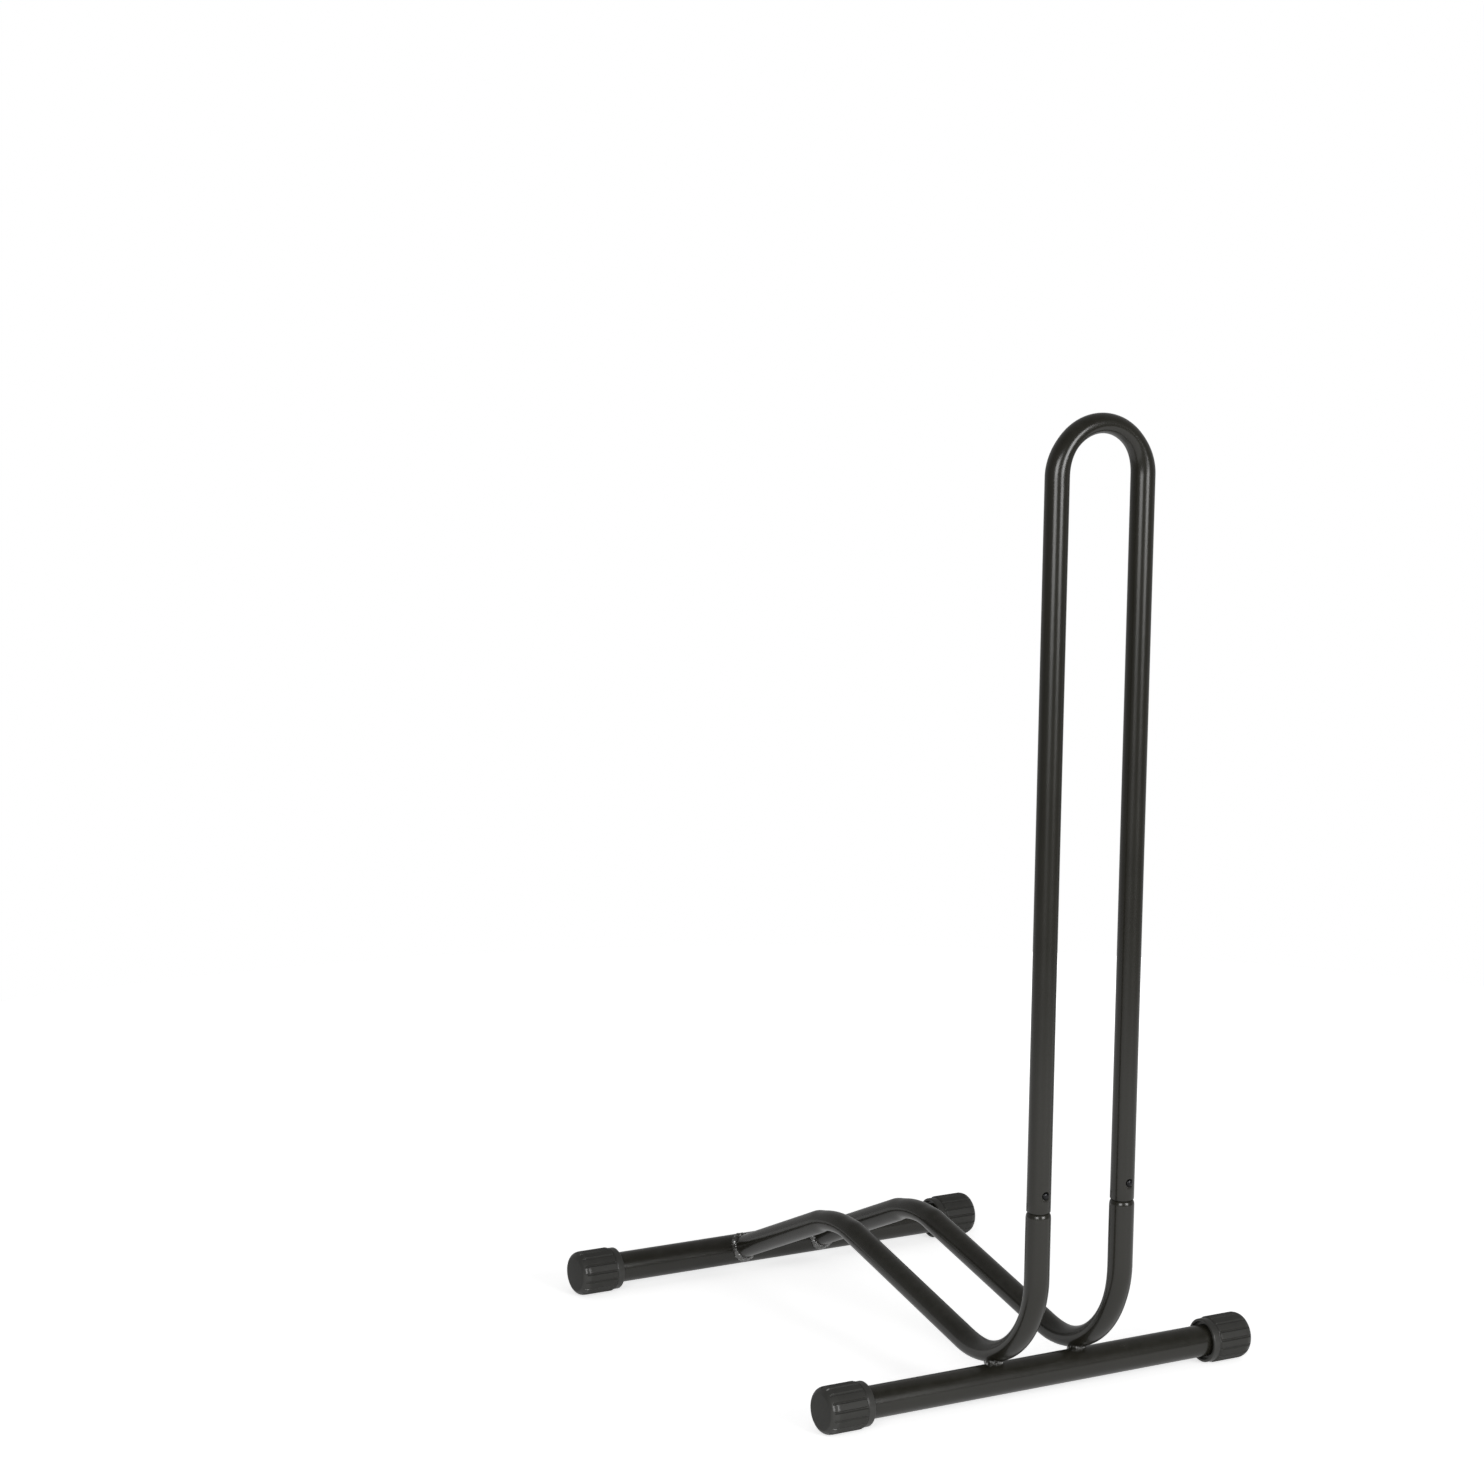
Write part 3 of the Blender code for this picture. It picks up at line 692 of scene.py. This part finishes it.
def model_weld(name, sizes, side, line, radius):
    """Lay a rippled bead round a joint: a ring, spun full circle, then moved onto the joint's line."""
    rough = [line(sizes, side, 2 * pi * step / WELD_TRIAL_STEPS)[0] for step in range(WELD_TRIAL_STEPS)]
    around = sum((rough[step] - rough[step - 1]).length for step in range(WELD_TRIAL_STEPS))
    ripples = round(around / sizes.weld_pitch)
    steps = ripples * WELD_RIPPLE_STEPS
    ring_radius = around / 2 / pi
    bead = open_ring(name, (ring_radius, 0.0, 0.0), radius, WELD_SIDES, (pi / 2, 0.0, 0.0))
    with editing(bead):
        bpy.ops.mesh.select_all(action="SELECT")
        spin(steps, 2 * pi, (0.0, 0.0, 0.0), UP)
    face_out(bead)
    places = [line(sizes, side, 2 * pi * step / steps) for step in range(steps)]
    for vertex in bead.data.vertices:
        step = round(atan2(vertex.co.y, vertex.co.x) / 2 / pi * steps) % steps
        turn = atan2(vertex.co.z, hypot(vertex.co.x, vertex.co.y) - ring_radius)
        place, outward = places[step]
        heading = (places[(step + 1) % steps][0] - places[step - 1][0]).normalized()
        outward = (outward - heading * outward.dot(heading)).normalized()
        direction = outward * cos(turn) + heading.cross(outward) * sin(turn) * WELD_SPREAD
        phase = (step / WELD_RIPPLE_STEPS - WELD_RIPPLE_LAG * (1 - cos(turn))) % 1.0
        ripple = WELD_RIPPLE_HEIGHT * (1 - 2 * abs(phase - WELD_RIPPLE_CREST) ** WELD_RIPPLE_EDGE)
        skin = place + direction * radius
        uneven = WELD_UNEVEN * noise.noise(skin * WELD_UNEVEN_SCALE)
        uneven += WELD_FINE * noise.noise(skin * WELD_FINE_SCALE)
        vertex.co = place + direction * (radius * (1 + ripple + uneven))
    with editing(bead):
        bpy.ops.mesh.select_all(action="SELECT")
        bpy.ops.mesh.normals_make_consistent(inside=False)
    return bead


# The snap lock

BUTTON_SIDES = 40
DOME_STEPS = 8
FLANGE_ROUND = 0.2
SPRING_STEPS = 20
SPRING_TURN_STEPS = 14


def model_button(name, sizes, node):
    """Draw a flanged pin from its back to its domed tip."""
    low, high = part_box(node)
    flange_radius = (high.x - low.x) / 2
    back = (middle(node, X), high.y, middle(node, Z))
    button = open_ring(name, back, flange_radius, BUTTON_SIDES, (pi / 2, 0.0, 0.0))
    shoulder = high.y - sizes.button_flange
    outline = [(shoulder, flange_radius), (shoulder, sizes.button_radius)]
    for step in range(DOME_STEPS + 1):
        turn = pi / 2 * step / (DOME_STEPS + 1)
        outline.append((low.y + sizes.button_dome * (1 - sin(turn)), sizes.button_radius * cos(turn)))
    with editing(button):
        bpy.ops.mesh.select_all(action="SELECT")
        draw_outline(outline, back, Y, flange_radius)
        extrude((0.0, low.y - outline[-1][0], 0.0))
        bpy.ops.mesh.merge(type="CENTER")
        select_points(button, lambda place: place.y > high.y - MERGE_DISTANCE)
        bpy.ops.mesh.edge_face_add()
    face_out(button)
    soften(button, sizes.button_flange * FLANGE_ROUND)
    return button


def model_spring(name, sizes, node):
    """Draw a narrow U of strip: down the front arm, round the turn and up the back arm."""
    low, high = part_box(node)
    half = sizes.spring_thickness / 2
    front = low.y + half
    back = high.y - half
    radius = (back - front) / 2
    turn_level = low.z + half + radius
    arm = high.z - turn_level
    bpy.ops.object.select_all(action="DESELECT")
    bpy.ops.mesh.primitive_plane_add(
        size=1.0, location=(middle(node, X), front, high.z - arm / 2), rotation=(pi / 2, 0.0, 0.0)
    )
    strip = bpy.context.object
    strip.scale = (high.x - low.x, arm, 1.0)
    strip = take(name)
    with editing(strip, "EDGE"):
        select_edges(strip, lambda edge: abs(edge.verts[0].co.z - edge.verts[1].co.z) > arm / 2)
        bpy.ops.mesh.subdivide(number_cuts=SPRING_STEPS)
        foot = turn_level + MERGE_DISTANCE
        select_edges(strip, lambda edge: max(vertex.co.z for vertex in edge.verts) < foot)
        spin(SPRING_TURN_STEPS, pi, (middle(node, X), front + radius, turn_level), (1.0, 0.0, 0.0))
        extrude((0.0, 0.0, arm))
    face_out(strip)
    wall = strip.modifiers.new("wall", "SOLIDIFY")
    wall.thickness = sizes.spring_thickness
    wall.offset = 0.0
    apply_modifier(strip, wall)
    return strip


def bend_spring(strip):
    """Move the strip's place into its mesh. Both arms stay as they were drawn."""
    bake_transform(strip)


# Shader nodes written as arithmetic

# The sockets of a Mix node that blends colours
MIX_FIRST = 6
MIX_SECOND = 7
MIX_RESULT = 2
# The height of a unit normal, from a surface that holds no dust to a level one
FACING_UP = (0.1, 0.95)


class Wire:
    """One output of a node. Arithmetic on it adds Math nodes."""

    def __init__(self, tree, socket):
        self.tree = tree
        self.socket = socket

    def __add__(self, other):
        return self.tree.maths("ADD", self, other)

    def __sub__(self, other):
        return self.tree.maths("SUBTRACT", self, other)

    def __rsub__(self, other):
        return self.tree.maths("SUBTRACT", other, self)

    def __mul__(self, other):
        return self.tree.maths("MULTIPLY", self, other)

    __radd__ = __add__
    __rmul__ = __mul__


class Tree:
    """A node tree, and the one way nodes are added to it."""

    def __init__(self, node_tree):
        self.nodes = node_tree.nodes
        self.links = node_tree.links

    def feed(self, socket, value):
        if isinstance(value, Wire):
            self.links.new(value.socket, socket)
        else:
            socket.default_value = value

    def node(self, kind, settings, inputs, output=0):
        made = self.nodes.new(kind)
        for name, value in settings.items():
            setattr(made, name, value)
        for name, value in inputs.items():
            self.feed(made.inputs[name], value)
        return Wire(self, made.outputs[output])

    def maths(self, operation, *values):
        return self.node("ShaderNodeMath", {"operation": operation}, dict(enumerate(values)))

    def vector_maths(self, operation, *vectors):
        """A Vector Math node whose result is a number."""
        inputs = dict(enumerate(vectors))
        return self.node("ShaderNodeVectorMath", {"operation": operation}, inputs, "Value")

    def part_along(self, axis, vector):
        """A vector's part along X, Y or Z."""
        return self.node("ShaderNodeSeparateXYZ", {}, {0: vector}, axis)

    def ramp(self, value, low, high, to_low=0.0, to_high=1.0):
        """A smooth step of a value from one range to another."""
        inputs = {"Value": value, "From Min": low, "From Max": high, "To Min": to_low, "To Max": to_high}
        return self.node("ShaderNodeMapRange", {"interpolation_type": "SMOOTHSTEP"}, inputs)

    def fall(self, value, low, high):
        """A smooth step down from 1 to 0."""
        return self.ramp(value, low, high, 1.0, 0.0)

    def mix(self, factor, first, second):
        """Blend two colours."""
        inputs = {0: factor, MIX_FIRST: first, MIX_SECOND: second}
        return self.node("ShaderNodeMix", {"data_type": "RGBA"}, inputs, MIX_RESULT)

    def bump(self, height, distance, strength=1.0, normal=None):
        inputs = {"Height": height, "Distance": distance, "Strength": strength}
        if normal:
            inputs["Normal"] = normal
        return self.node("ShaderNodeBump", {}, inputs)


def shade(value, by=1.0):
    """A colour for a socket, made lighter or darker."""
    return (value[0] * by, value[1] * by, value[2] * by, 1.0)


class Paint(Tree):
    """A material round one Principled shader, with its patterns on Object coordinates."""

    def __init__(self, name, metallic=0.0):
        self.material = bpy.data.materials.new(name)
        self.material.use_nodes = True
        super().__init__(self.material.node_tree)
        self.shader = self.nodes["Principled BSDF"]
        self.set("Metallic", metallic)
        self.place = self.node("ShaderNodeTexCoord", {}, {}, "Object")

    def set(self, socket, value):
        self.feed(self.shader.inputs[socket], value)

    def facing_up(self):
        """How much the surface faces up, from 0 to 1."""
        normal = self.node("ShaderNodeNewGeometry", {}, {}, "Normal")
        return self.ramp(self.part_along("Z", normal), *FACING_UP)

    def noise(self, pattern, place=None):
        """Soft noise, on Object coordinates if no others are given."""
        scale, detail = pattern
        inputs = {"Vector": place or self.place, "Scale": scale, "Detail": detail}
        return self.node("ShaderNodeTexNoise", {}, inputs)

    def shades(self, factor, value, darker, lighter):
        """A colour that varies between two shades of itself."""
        return self.mix(factor, shade(value, darker), shade(value, lighter))


# The finishes. A pattern is given by its scale and its detail, and a range by its two ends

COAT_IOR = 1.55
COAT_CLOUDS = (28.0, 3.0)
COAT_CLOUD_ROUGHNESS = 0.05
COAT_SPECKS = (1900.0, 1.0)
COAT_SPECK_ROUGHNESS = 0.02
COAT_MEAN_ROUGHNESS = 0.04
COAT_SHADES = (0.85, 1.15)
COAT_WAVES = (90.0, 1.0)
COAT_WAVE_HEIGHT = 0.000010
COAT_PEEL = (620.0, 2.0)
COAT_PEEL_HEIGHT = 0.0000012
DUST_PATCHES = (160.0, 6.0)
DUST_EDGE = (0.36, 0.74)
DUST_COVER = 0.035


def powder_coat(finishes):
    """Satin black with a fine orange peel, faint cloudiness and a little dust on what faces up."""
    paint = Paint("powder_coat")
    clouds = paint.noise(COAT_CLOUDS)
    base = paint.shades(clouds, finishes.coat, *COAT_SHADES)
    dust = paint.facing_up() * paint.ramp(paint.noise(DUST_PATCHES), *DUST_EDGE) * DUST_COVER
    paint.set("Base Color", paint.mix(dust, base, shade(finishes.dust)))
    rough = clouds * COAT_CLOUD_ROUGHNESS + paint.noise(COAT_SPECKS) * COAT_SPECK_ROUGHNESS
    paint.set("Roughness", rough + dust + (finishes.coat_roughness - COAT_MEAN_ROUGHNESS))
    paint.set("IOR", COAT_IOR)
    waves = paint.bump(paint.noise(COAT_WAVES), COAT_WAVE_HEIGHT)
    paint.set("Normal", paint.bump(paint.noise(COAT_PEEL), COAT_PEEL_HEIGHT, normal=waves))
    return paint.material


WELD_PITS = (900.0, 4.0)
WELD_PIT_EDGE = (0.35, 0.7)
WELD_PIT_HEIGHT = 0.0004
WELD_PIT_STRENGTH = 0.8
WELD_SHADES = (0.7, 2.0)
WELD_ROUGHNESS = (0.12, 0.30)
WELD_COAT_ROUGHNESS = 0.06
WELD_COAT_IOR = 2.2


def weld_coat(finishes):
    """The same coat, pulled tight and glossier over the weld metal."""
    paint = Paint("coated_weld")
    pits = paint.noise(WELD_PITS)
    paint.set("Base Color", paint.shades(pits, finishes.coat, *WELD_SHADES))
    paint.set("Roughness", paint.ramp(pits, *WELD_PIT_EDGE, *WELD_ROUGHNESS))
    paint.set("Coat Weight", 1.0)
    paint.set("Coat Roughness", WELD_COAT_ROUGHNESS)
    paint.set("Coat IOR", WELD_COAT_IOR)
    paint.set("Normal", paint.bump(pits, WELD_PIT_HEIGHT, WELD_PIT_STRENGTH))
    return paint.material


PLASTIC_IOR = 1.38
PLASTIC_CLOUDS = (120.0, 4.0)
PLASTIC_CLOUD_ROUGHNESS = 0.06
PLASTIC_GRAIN = (2600.0, 2.0)
PLASTIC_GRAIN_ROUGHNESS = 0.10
PLASTIC_GRAIN_HEIGHT = 0.00004
PLASTIC_GRAIN_STRENGTH = 0.2
PLASTIC_MEAN_ROUGHNESS = 0.08
PLASTIC_SHADES = (0.82, 1.18)
SCUFF_HEIGHT = 0.004
SCUFF_PATCHES = (420.0, 5.0)
SCUFF_EDGE = (0.5, 0.62)
SCUFF_COVER = 0.5
SCUFF_SHADE = 4.0
RUBBED_FROM = (0.0005, 0.0013)
RUBBED_TO = (0.0050, 0.0080)
RUBBED_COLLAR = (0.0310, 0.0330)
RUBBED_WEIGHT = 0.5
RUBBED_ROUGHNESS = 0.14


def cap_plastic(finishes):
    """Moulded matt plastic, rubbed smooth round its end and on its collar, and scuffed near the floor."""
    paint = Paint("cap_plastic")
    clouds = paint.noise(PLASTIC_CLOUDS)
    base = paint.shades(clouds, finishes.plastic, *PLASTIC_SHADES)
    near_floor = paint.fall(paint.part_along("Z", paint.place), 0.0, SCUFF_HEIGHT)
    scuff = near_floor * paint.ramp(paint.noise(SCUFF_PATCHES), *SCUFF_EDGE) * SCUFF_COVER
    paint.set("Base Color", paint.mix(scuff, base, shade(finishes.plastic, SCUFF_SHADE)))
    from_tip = CAP_TIP - paint.maths("ABSOLUTE", paint.part_along("X", paint.place))
    round_end = paint.ramp(from_tip, *RUBBED_FROM) * paint.fall(from_tip, *RUBBED_TO)
    on_collar = paint.ramp(from_tip, *RUBBED_COLLAR)
    paint.set("Coat Weight", (round_end + on_collar) * RUBBED_WEIGHT)
    paint.set("Coat Roughness", RUBBED_ROUGHNESS)
    paint.set("IOR", PLASTIC_IOR)
    grain = paint.noise(PLASTIC_GRAIN)
    rough = grain * PLASTIC_GRAIN_ROUGHNESS + clouds * PLASTIC_CLOUD_ROUGHNESS
    paint.set("Roughness", rough + (finishes.plastic_roughness - PLASTIC_MEAN_ROUGHNESS))
    paint.set("Normal", paint.bump(grain, PLASTIC_GRAIN_HEIGHT, PLASTIC_GRAIN_STRENGTH))
    return paint.material


BUTTON_MARKS = (1500.0, 4.0)
BUTTON_MARK_EDGE = (0.35, 0.65)
BUTTON_MARK_ROUGHNESS = 0.15
BUTTON_ROUGHNESS = 0.20
BUTTON_WORN_DEPTH = 0.0006
BUTTON_WORN_SHADE = 1.6


def blacked_steel(finishes):
    """Blacked steel, rubbed bright on the dome's tip."""
    paint = Paint("blacked_steel", metallic=1.0)
    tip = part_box("left_snap_button")[0].y
    worn = paint.fall(paint.part_along("Y", paint.place), tip, tip + BUTTON_WORN_DEPTH)
    marks = paint.noise(BUTTON_MARKS)
    rubbed = worn * paint.ramp(marks, *BUTTON_MARK_EDGE)
    bright = shade(finishes.button, BUTTON_WORN_SHADE)
    paint.set("Base Color", paint.mix(rubbed, shade(finishes.button), bright))
    paint.set("Roughness", marks * BUTTON_MARK_ROUGHNESS + BUTTON_ROUGHNESS)
    return paint.material


SPRING_STRETCH = (9.0, 9.0, 0.4)
SPRING_LINES = (900.0, 3.0)
SPRING_LINE_ROUGHNESS = 0.2
SPRING_ROUGHNESS = 0.2
SPRING_SHADES = (0.8, 1.15)


def spring_steel(finishes):
    """Bright rolled strip with fine lines along it."""
    paint = Paint("spring_steel", metallic=1.0)
    inputs = {"Vector": paint.place, "Scale": SPRING_STRETCH}
    lines = paint.noise(SPRING_LINES, paint.node("ShaderNodeMapping", {}, inputs))
    paint.set("Base Color", paint.shades(lines, finishes.spring, *SPRING_SHADES))
    paint.set("Roughness", lines * SPRING_LINE_ROUGHNESS + SPRING_ROUGHNESS)
    return paint.material


MAKERS = {
    "powder_coat": powder_coat,
    "coated_weld": weld_coat,
    "cap_plastic": cap_plastic,
    "snap_button": blacked_steel,
    "spring_steel": spring_steel,
}
PAINTS = {}


def material_for(slot):
    """The material of one of the record's slots, made the first time that it is asked for."""
    if slot not in PAINTS:
        PAINTS[slot] = MAKERS[slot](bpy.context.scene.stand_finishes)
    return PAINTS[slot]


# The operators, one for each kind of piece

class STAND_OT_ground_tubes(bpy.types.Operator):
    """Model the two ground tubes"""

    bl_idname = "stand.ground_tubes"
    bl_label = "Ground Tubes"
    bl_options = {"REGISTER", "UNDO"}

    def execute(self, context):
        sizes = context.scene.stand_sizes
        for end in ENDS:
            node = end + "_ground_tube"
            tube = model_ground_tube(node + "_surface", sizes, TUBE_AXIS[end])
            soften(tube, sizes.edge_round)
            finish_piece(tube, "powder_coat", node, "base")
        return {"FINISHED"}


class STAND_OT_rails(bpy.types.Operator):
    """Model the two bent rails with their spigots"""

    bl_idname = "stand.rails"
    bl_label = "Rails"
    bl_options = {"REGISTER", "UNDO"}

    def execute(self, context):
        sizes = context.scene.stand_sizes
        for name, side in SIDES:
            node = name + "_rail"
            rail = model_rail(node + "_surface", sizes, side)
            finish_piece(rail, "powder_coat", node, "base")
        return {"FINISHED"}


class STAND_OT_hoop(bpy.types.Operator):
    """Model the hoop that plugs onto the rails"""

    bl_idname = "stand.hoop"
    bl_label = "Hoop"
    bl_options = {"REGISTER", "UNDO"}

    def execute(self, context):
        sizes = context.scene.stand_sizes
        hoop = model_hoop("hoop_surface", sizes)
        soften(hoop, sizes.edge_round)
        finish_piece(hoop, "powder_coat", "hoop", "hoop")
        return {"FINISHED"}


class STAND_OT_end_caps(bpy.types.Operator):
    """Model the four ribbed end caps"""

    bl_idname = "stand.end_caps"
    bl_label = "End Caps"
    bl_options = {"REGISTER", "UNDO"}

    def execute(self, context):
        sizes = context.scene.stand_sizes
        for end in ENDS:
            for name, side in SIDES:
                node = end + "_" + name + "_end_cap"
                cap = model_cap(node + "_surface", sizes, side, TUBE_AXIS[end])
                finish_piece(cap, "cap_plastic", node, "base")
        return {"FINISHED"}


class STAND_OT_welds(bpy.types.Operator):
    """Lay the four weld beads"""

    bl_idname = "stand.welds"
    bl_label = "Welds"
    bl_options = {"REGISTER", "UNDO"}

    def execute(self, context):
        sizes = context.scene.stand_sizes
        lines = (
            ("front", front_weld_line, sizes.front_weld_radius),
            ("rear", rear_weld_line, sizes.rear_weld_radius),
        )
        for end, line, radius in lines:
            for name, side in SIDES:
                node = end + "_" + name + "_weld"
                bead = model_weld(node + "_surface", sizes, side, line, radius)
                finish_piece(bead, "coated_weld", node, "base")
        return {"FINISHED"}


class STAND_OT_snap_buttons(bpy.types.Operator):
    """Model the two snap buttons"""

    bl_idname = "stand.snap_buttons"
    bl_label = "Snap Buttons"
    bl_options = {"REGISTER", "UNDO"}

    def execute(self, context):
        sizes = context.scene.stand_sizes
        for name, _ in SIDES:
            node = name + "_snap_button"
            button = model_button(node + "_surface", sizes, node)
            finish_piece(button, "snap_button", node, name + "_button")
        return {"FINISHED"}


class STAND_OT_snap_springs(bpy.types.Operator):
    """Model the two strips that push the snap buttons out"""

    bl_idname = "stand.snap_springs"
    bl_label = "Snap Springs"
    bl_options = {"REGISTER", "UNDO"}

    def execute(self, context):
        sizes = context.scene.stand_sizes
        for name, _ in SIDES:
            node = name + "_snap_spring"
            strip = model_spring(node + "_surface", sizes, node)
            finish_piece(strip, "spring_steel", node)
            bend_spring(strip)
        return {"FINISHED"}


# The studio

CAMERA_PLACE = (-1.57443, -2.37952, 0.92308)
CAMERA_AZIMUTH = radians(30.573)
CAMERA_DOWN = radians(8.787)
CAMERA_ROLL = radians(0.719)
CAMERA_LENS = 88.353
CAMERA_REACH = 50.0
WHITE = (1.0, 1.0, 1.0, 1.0)
FLOOR_RADIUS = 1.5
FLOOR_SIDES = 96
FLOOR_ROUGHNESS = 0.9
FLOOR_RUN = (0.3, 1.4)
FLOOR_GLOW = (0.62, 1.0)
FLOOR_GLOSSY_GLOW = 0.2
SOFTBOX_DISTANCE = 3.0
SOFTBOX_FOOT = 0.4
SOFTBOX_TOP = 2.0
LEFT_AZIMUTH = radians(-44)
LEFT_ACROSS = 1.2
RIGHT_AZIMUTH = radians(12)
RIGHT_ACROSS = 1.1
BACKDROP_TURN = (-0.15, 0.6)
BACKDROP_GLOW = (0.155, 0.36)
BACKDROP_RISE = (0.25, 0.8)
BACKDROP_FADE = (1.0, 0.62)


def build_camera():
    """The camera where the photograph was taken from."""
    data = bpy.data.cameras.new("photo_view")
    data.lens = CAMERA_LENS
    data.clip_end = CAMERA_REACH
    camera = bpy.data.objects.new("photo_view", data)
    turned = (
        Matrix.Rotation(-CAMERA_AZIMUTH, 4, "Z")
        @ Matrix.Rotation(pi / 2 - CAMERA_DOWN, 4, "X")
        @ Matrix.Rotation(CAMERA_ROLL, 4, "Z")
    )
    camera.matrix_world = Matrix.Translation(CAMERA_PLACE) @ turned
    bpy.context.scene.collection.objects.link(camera)
    bpy.context.scene.camera = camera


def build_softbox(name, azimuth, across, glow):
    """A tall soft lamp that stands round the stand at an azimuth and faces it."""
    tall = SOFTBOX_TOP - SOFTBOX_FOOT
    data = bpy.data.lights.new(name, "AREA")
    data.shape = "RECTANGLE"
    data.size = across
    data.size_y = tall
    data.energy = glow * pi * across * tall
    lamp = bpy.data.objects.new(name, data)
    lamp.location = (
        sin(azimuth) * SOFTBOX_DISTANCE,
        -cos(azimuth) * SOFTBOX_DISTANCE,
        (SOFTBOX_TOP + SOFTBOX_FOOT) / 2,
    )
    lamp.rotation_euler = (pi / 2, 0.0, azimuth)
    bpy.context.scene.collection.objects.link(lamp)


def build_surroundings(strength):
    """White to the camera, a lit backdrop on the far side for reflections, and even soft light."""
    world = bpy.data.worlds.new("surroundings")
    world.use_nodes = True
    bpy.context.scene.world = world
    tree = Tree(world.node_tree)
    direction = tree.node("ShaderNodeTexCoord", {}, {}, "Generated")
    away = (sin(CAMERA_AZIMUTH), cos(CAMERA_AZIMUTH), 0.0)
    turned = tree.ramp(tree.vector_maths("DOT_PRODUCT", direction, away), *BACKDROP_TURN, *BACKDROP_GLOW)
    backdrop = turned * tree.ramp(tree.part_along("Z", direction), *BACKDROP_RISE, *BACKDROP_FADE)
    camera = tree.node("ShaderNodeLightPath", {}, {}, "Is Camera Ray")
    glossy = tree.node("ShaderNodeLightPath", {}, {}, "Is Glossy Ray")
    seen = camera + (1 - camera) * (glossy * backdrop + (1 - glossy) * strength)
    background = tree.nodes["Background"]
    background.inputs["Color"].default_value = WHITE
    tree.feed(background.inputs["Strength"], seen)


def build_floor(tint):
    """A pale floor that stays white to the camera and keeps the stand's shadow."""
    bpy.ops.object.select_all(action="DESELECT")
    bpy.ops.mesh.primitive_circle_add(vertices=FLOOR_SIDES, radius=FLOOR_RADIUS, fill_type="NGON")
    floor = take("floor")
    material = bpy.data.materials.new("pale_floor")
    material.use_nodes = True
    tree = Tree(material.node_tree)
    shader = tree.nodes["Principled BSDF"]
    shader.inputs["Base Color"].default_value = shade(tint)
    shader.inputs["Roughness"].default_value = FLOOR_ROUGHNESS
    shader.inputs["Emission Color"].default_value = WHITE
    camera = tree.node("ShaderNodeLightPath", {}, {}, "Is Camera Ray")
    glossy = tree.node("ShaderNodeLightPath", {}, {}, "Is Glossy Ray")
    place = tree.node("ShaderNodeTexCoord", {}, {}, "Object")
    away = tree.vector_maths("LENGTH", place)
    glow = camera * tree.ramp(away, *FLOOR_RUN, *FLOOR_GLOW) + glossy * FLOOR_GLOSSY_GLOW
    tree.feed(shader.inputs["Emission Strength"], glow)
    floor.data.materials.append(material)


class STAND_OT_studio(bpy.types.Operator):
    """Set up the floor, the lamps, the surroundings and the camera"""

    bl_idname = "stand.studio"
    bl_label = "Studio"
    bl_options = {"REGISTER", "UNDO"}

    def execute(self, context):
        studio = context.scene.stand_studio
        context.scene.view_settings.view_transform = "Standard"
        build_floor(studio.floor)
        build_surroundings(studio.surroundings)
        build_softbox("left_softbox", LEFT_AZIMUTH, LEFT_ACROSS, studio.left_glow)
        build_softbox("right_softbox", RIGHT_AZIMUTH, RIGHT_ACROSS, studio.right_glow)
        build_camera()
        return {"FINISHED"}


class STAND_PT_panel(bpy.types.Panel):
    """The stand's operators, sizes and colours"""

    bl_idname = "STAND_PT_panel"
    bl_label = "Bike Stand"
    bl_space_type = "VIEW_3D"
    bl_region_type = "UI"
    bl_category = "Bike Stand"

    def draw(self, context):
        scene = context.scene
        for operator in OPERATORS:
            self.layout.operator(operator.bl_idname)
        for group in (scene.stand_sizes, scene.stand_finishes, scene.stand_studio):
            box = self.layout.box()
            for name in group.bl_rna.properties.keys():
                if name not in ("rna_type", "name"):
                    box.prop(group, name)


GROUPS = {"stand_sizes": StandSizes, "stand_finishes": StandFinishes, "stand_studio": StandStudio}
OPERATORS = (
    STAND_OT_ground_tubes,
    STAND_OT_rails,
    STAND_OT_hoop,
    STAND_OT_end_caps,
    STAND_OT_welds,
    STAND_OT_snap_buttons,
    STAND_OT_snap_springs,
    STAND_OT_studio,
)


def register():
    for group in GROUPS.values():
        bpy.utils.register_class(group)
    for name, group in GROUPS.items():
        setattr(bpy.types.Scene, name, PointerProperty(type=group))
    for operator in OPERATORS:
        bpy.utils.register_class(operator)
    bpy.utils.register_class(STAND_PT_panel)


def unregister():
    bpy.utils.unregister_class(STAND_PT_panel)
    for operator in reversed(OPERATORS):
        bpy.utils.unregister_class(operator)
    for name, group in GROUPS.items():
        delattr(bpy.types.Scene, name)
        bpy.utils.unregister_class(group)


def main():
    register()
    bpy.ops.stand.ground_tubes()
    bpy.ops.stand.rails()
    bpy.ops.stand.hoop()
    bpy.ops.stand.end_caps()
    bpy.ops.stand.welds()
    bpy.ops.stand.snap_buttons()
    bpy.ops.stand.snap_springs()
    bpy.ops.stand.studio()


if __name__ == "__main__":
    main()
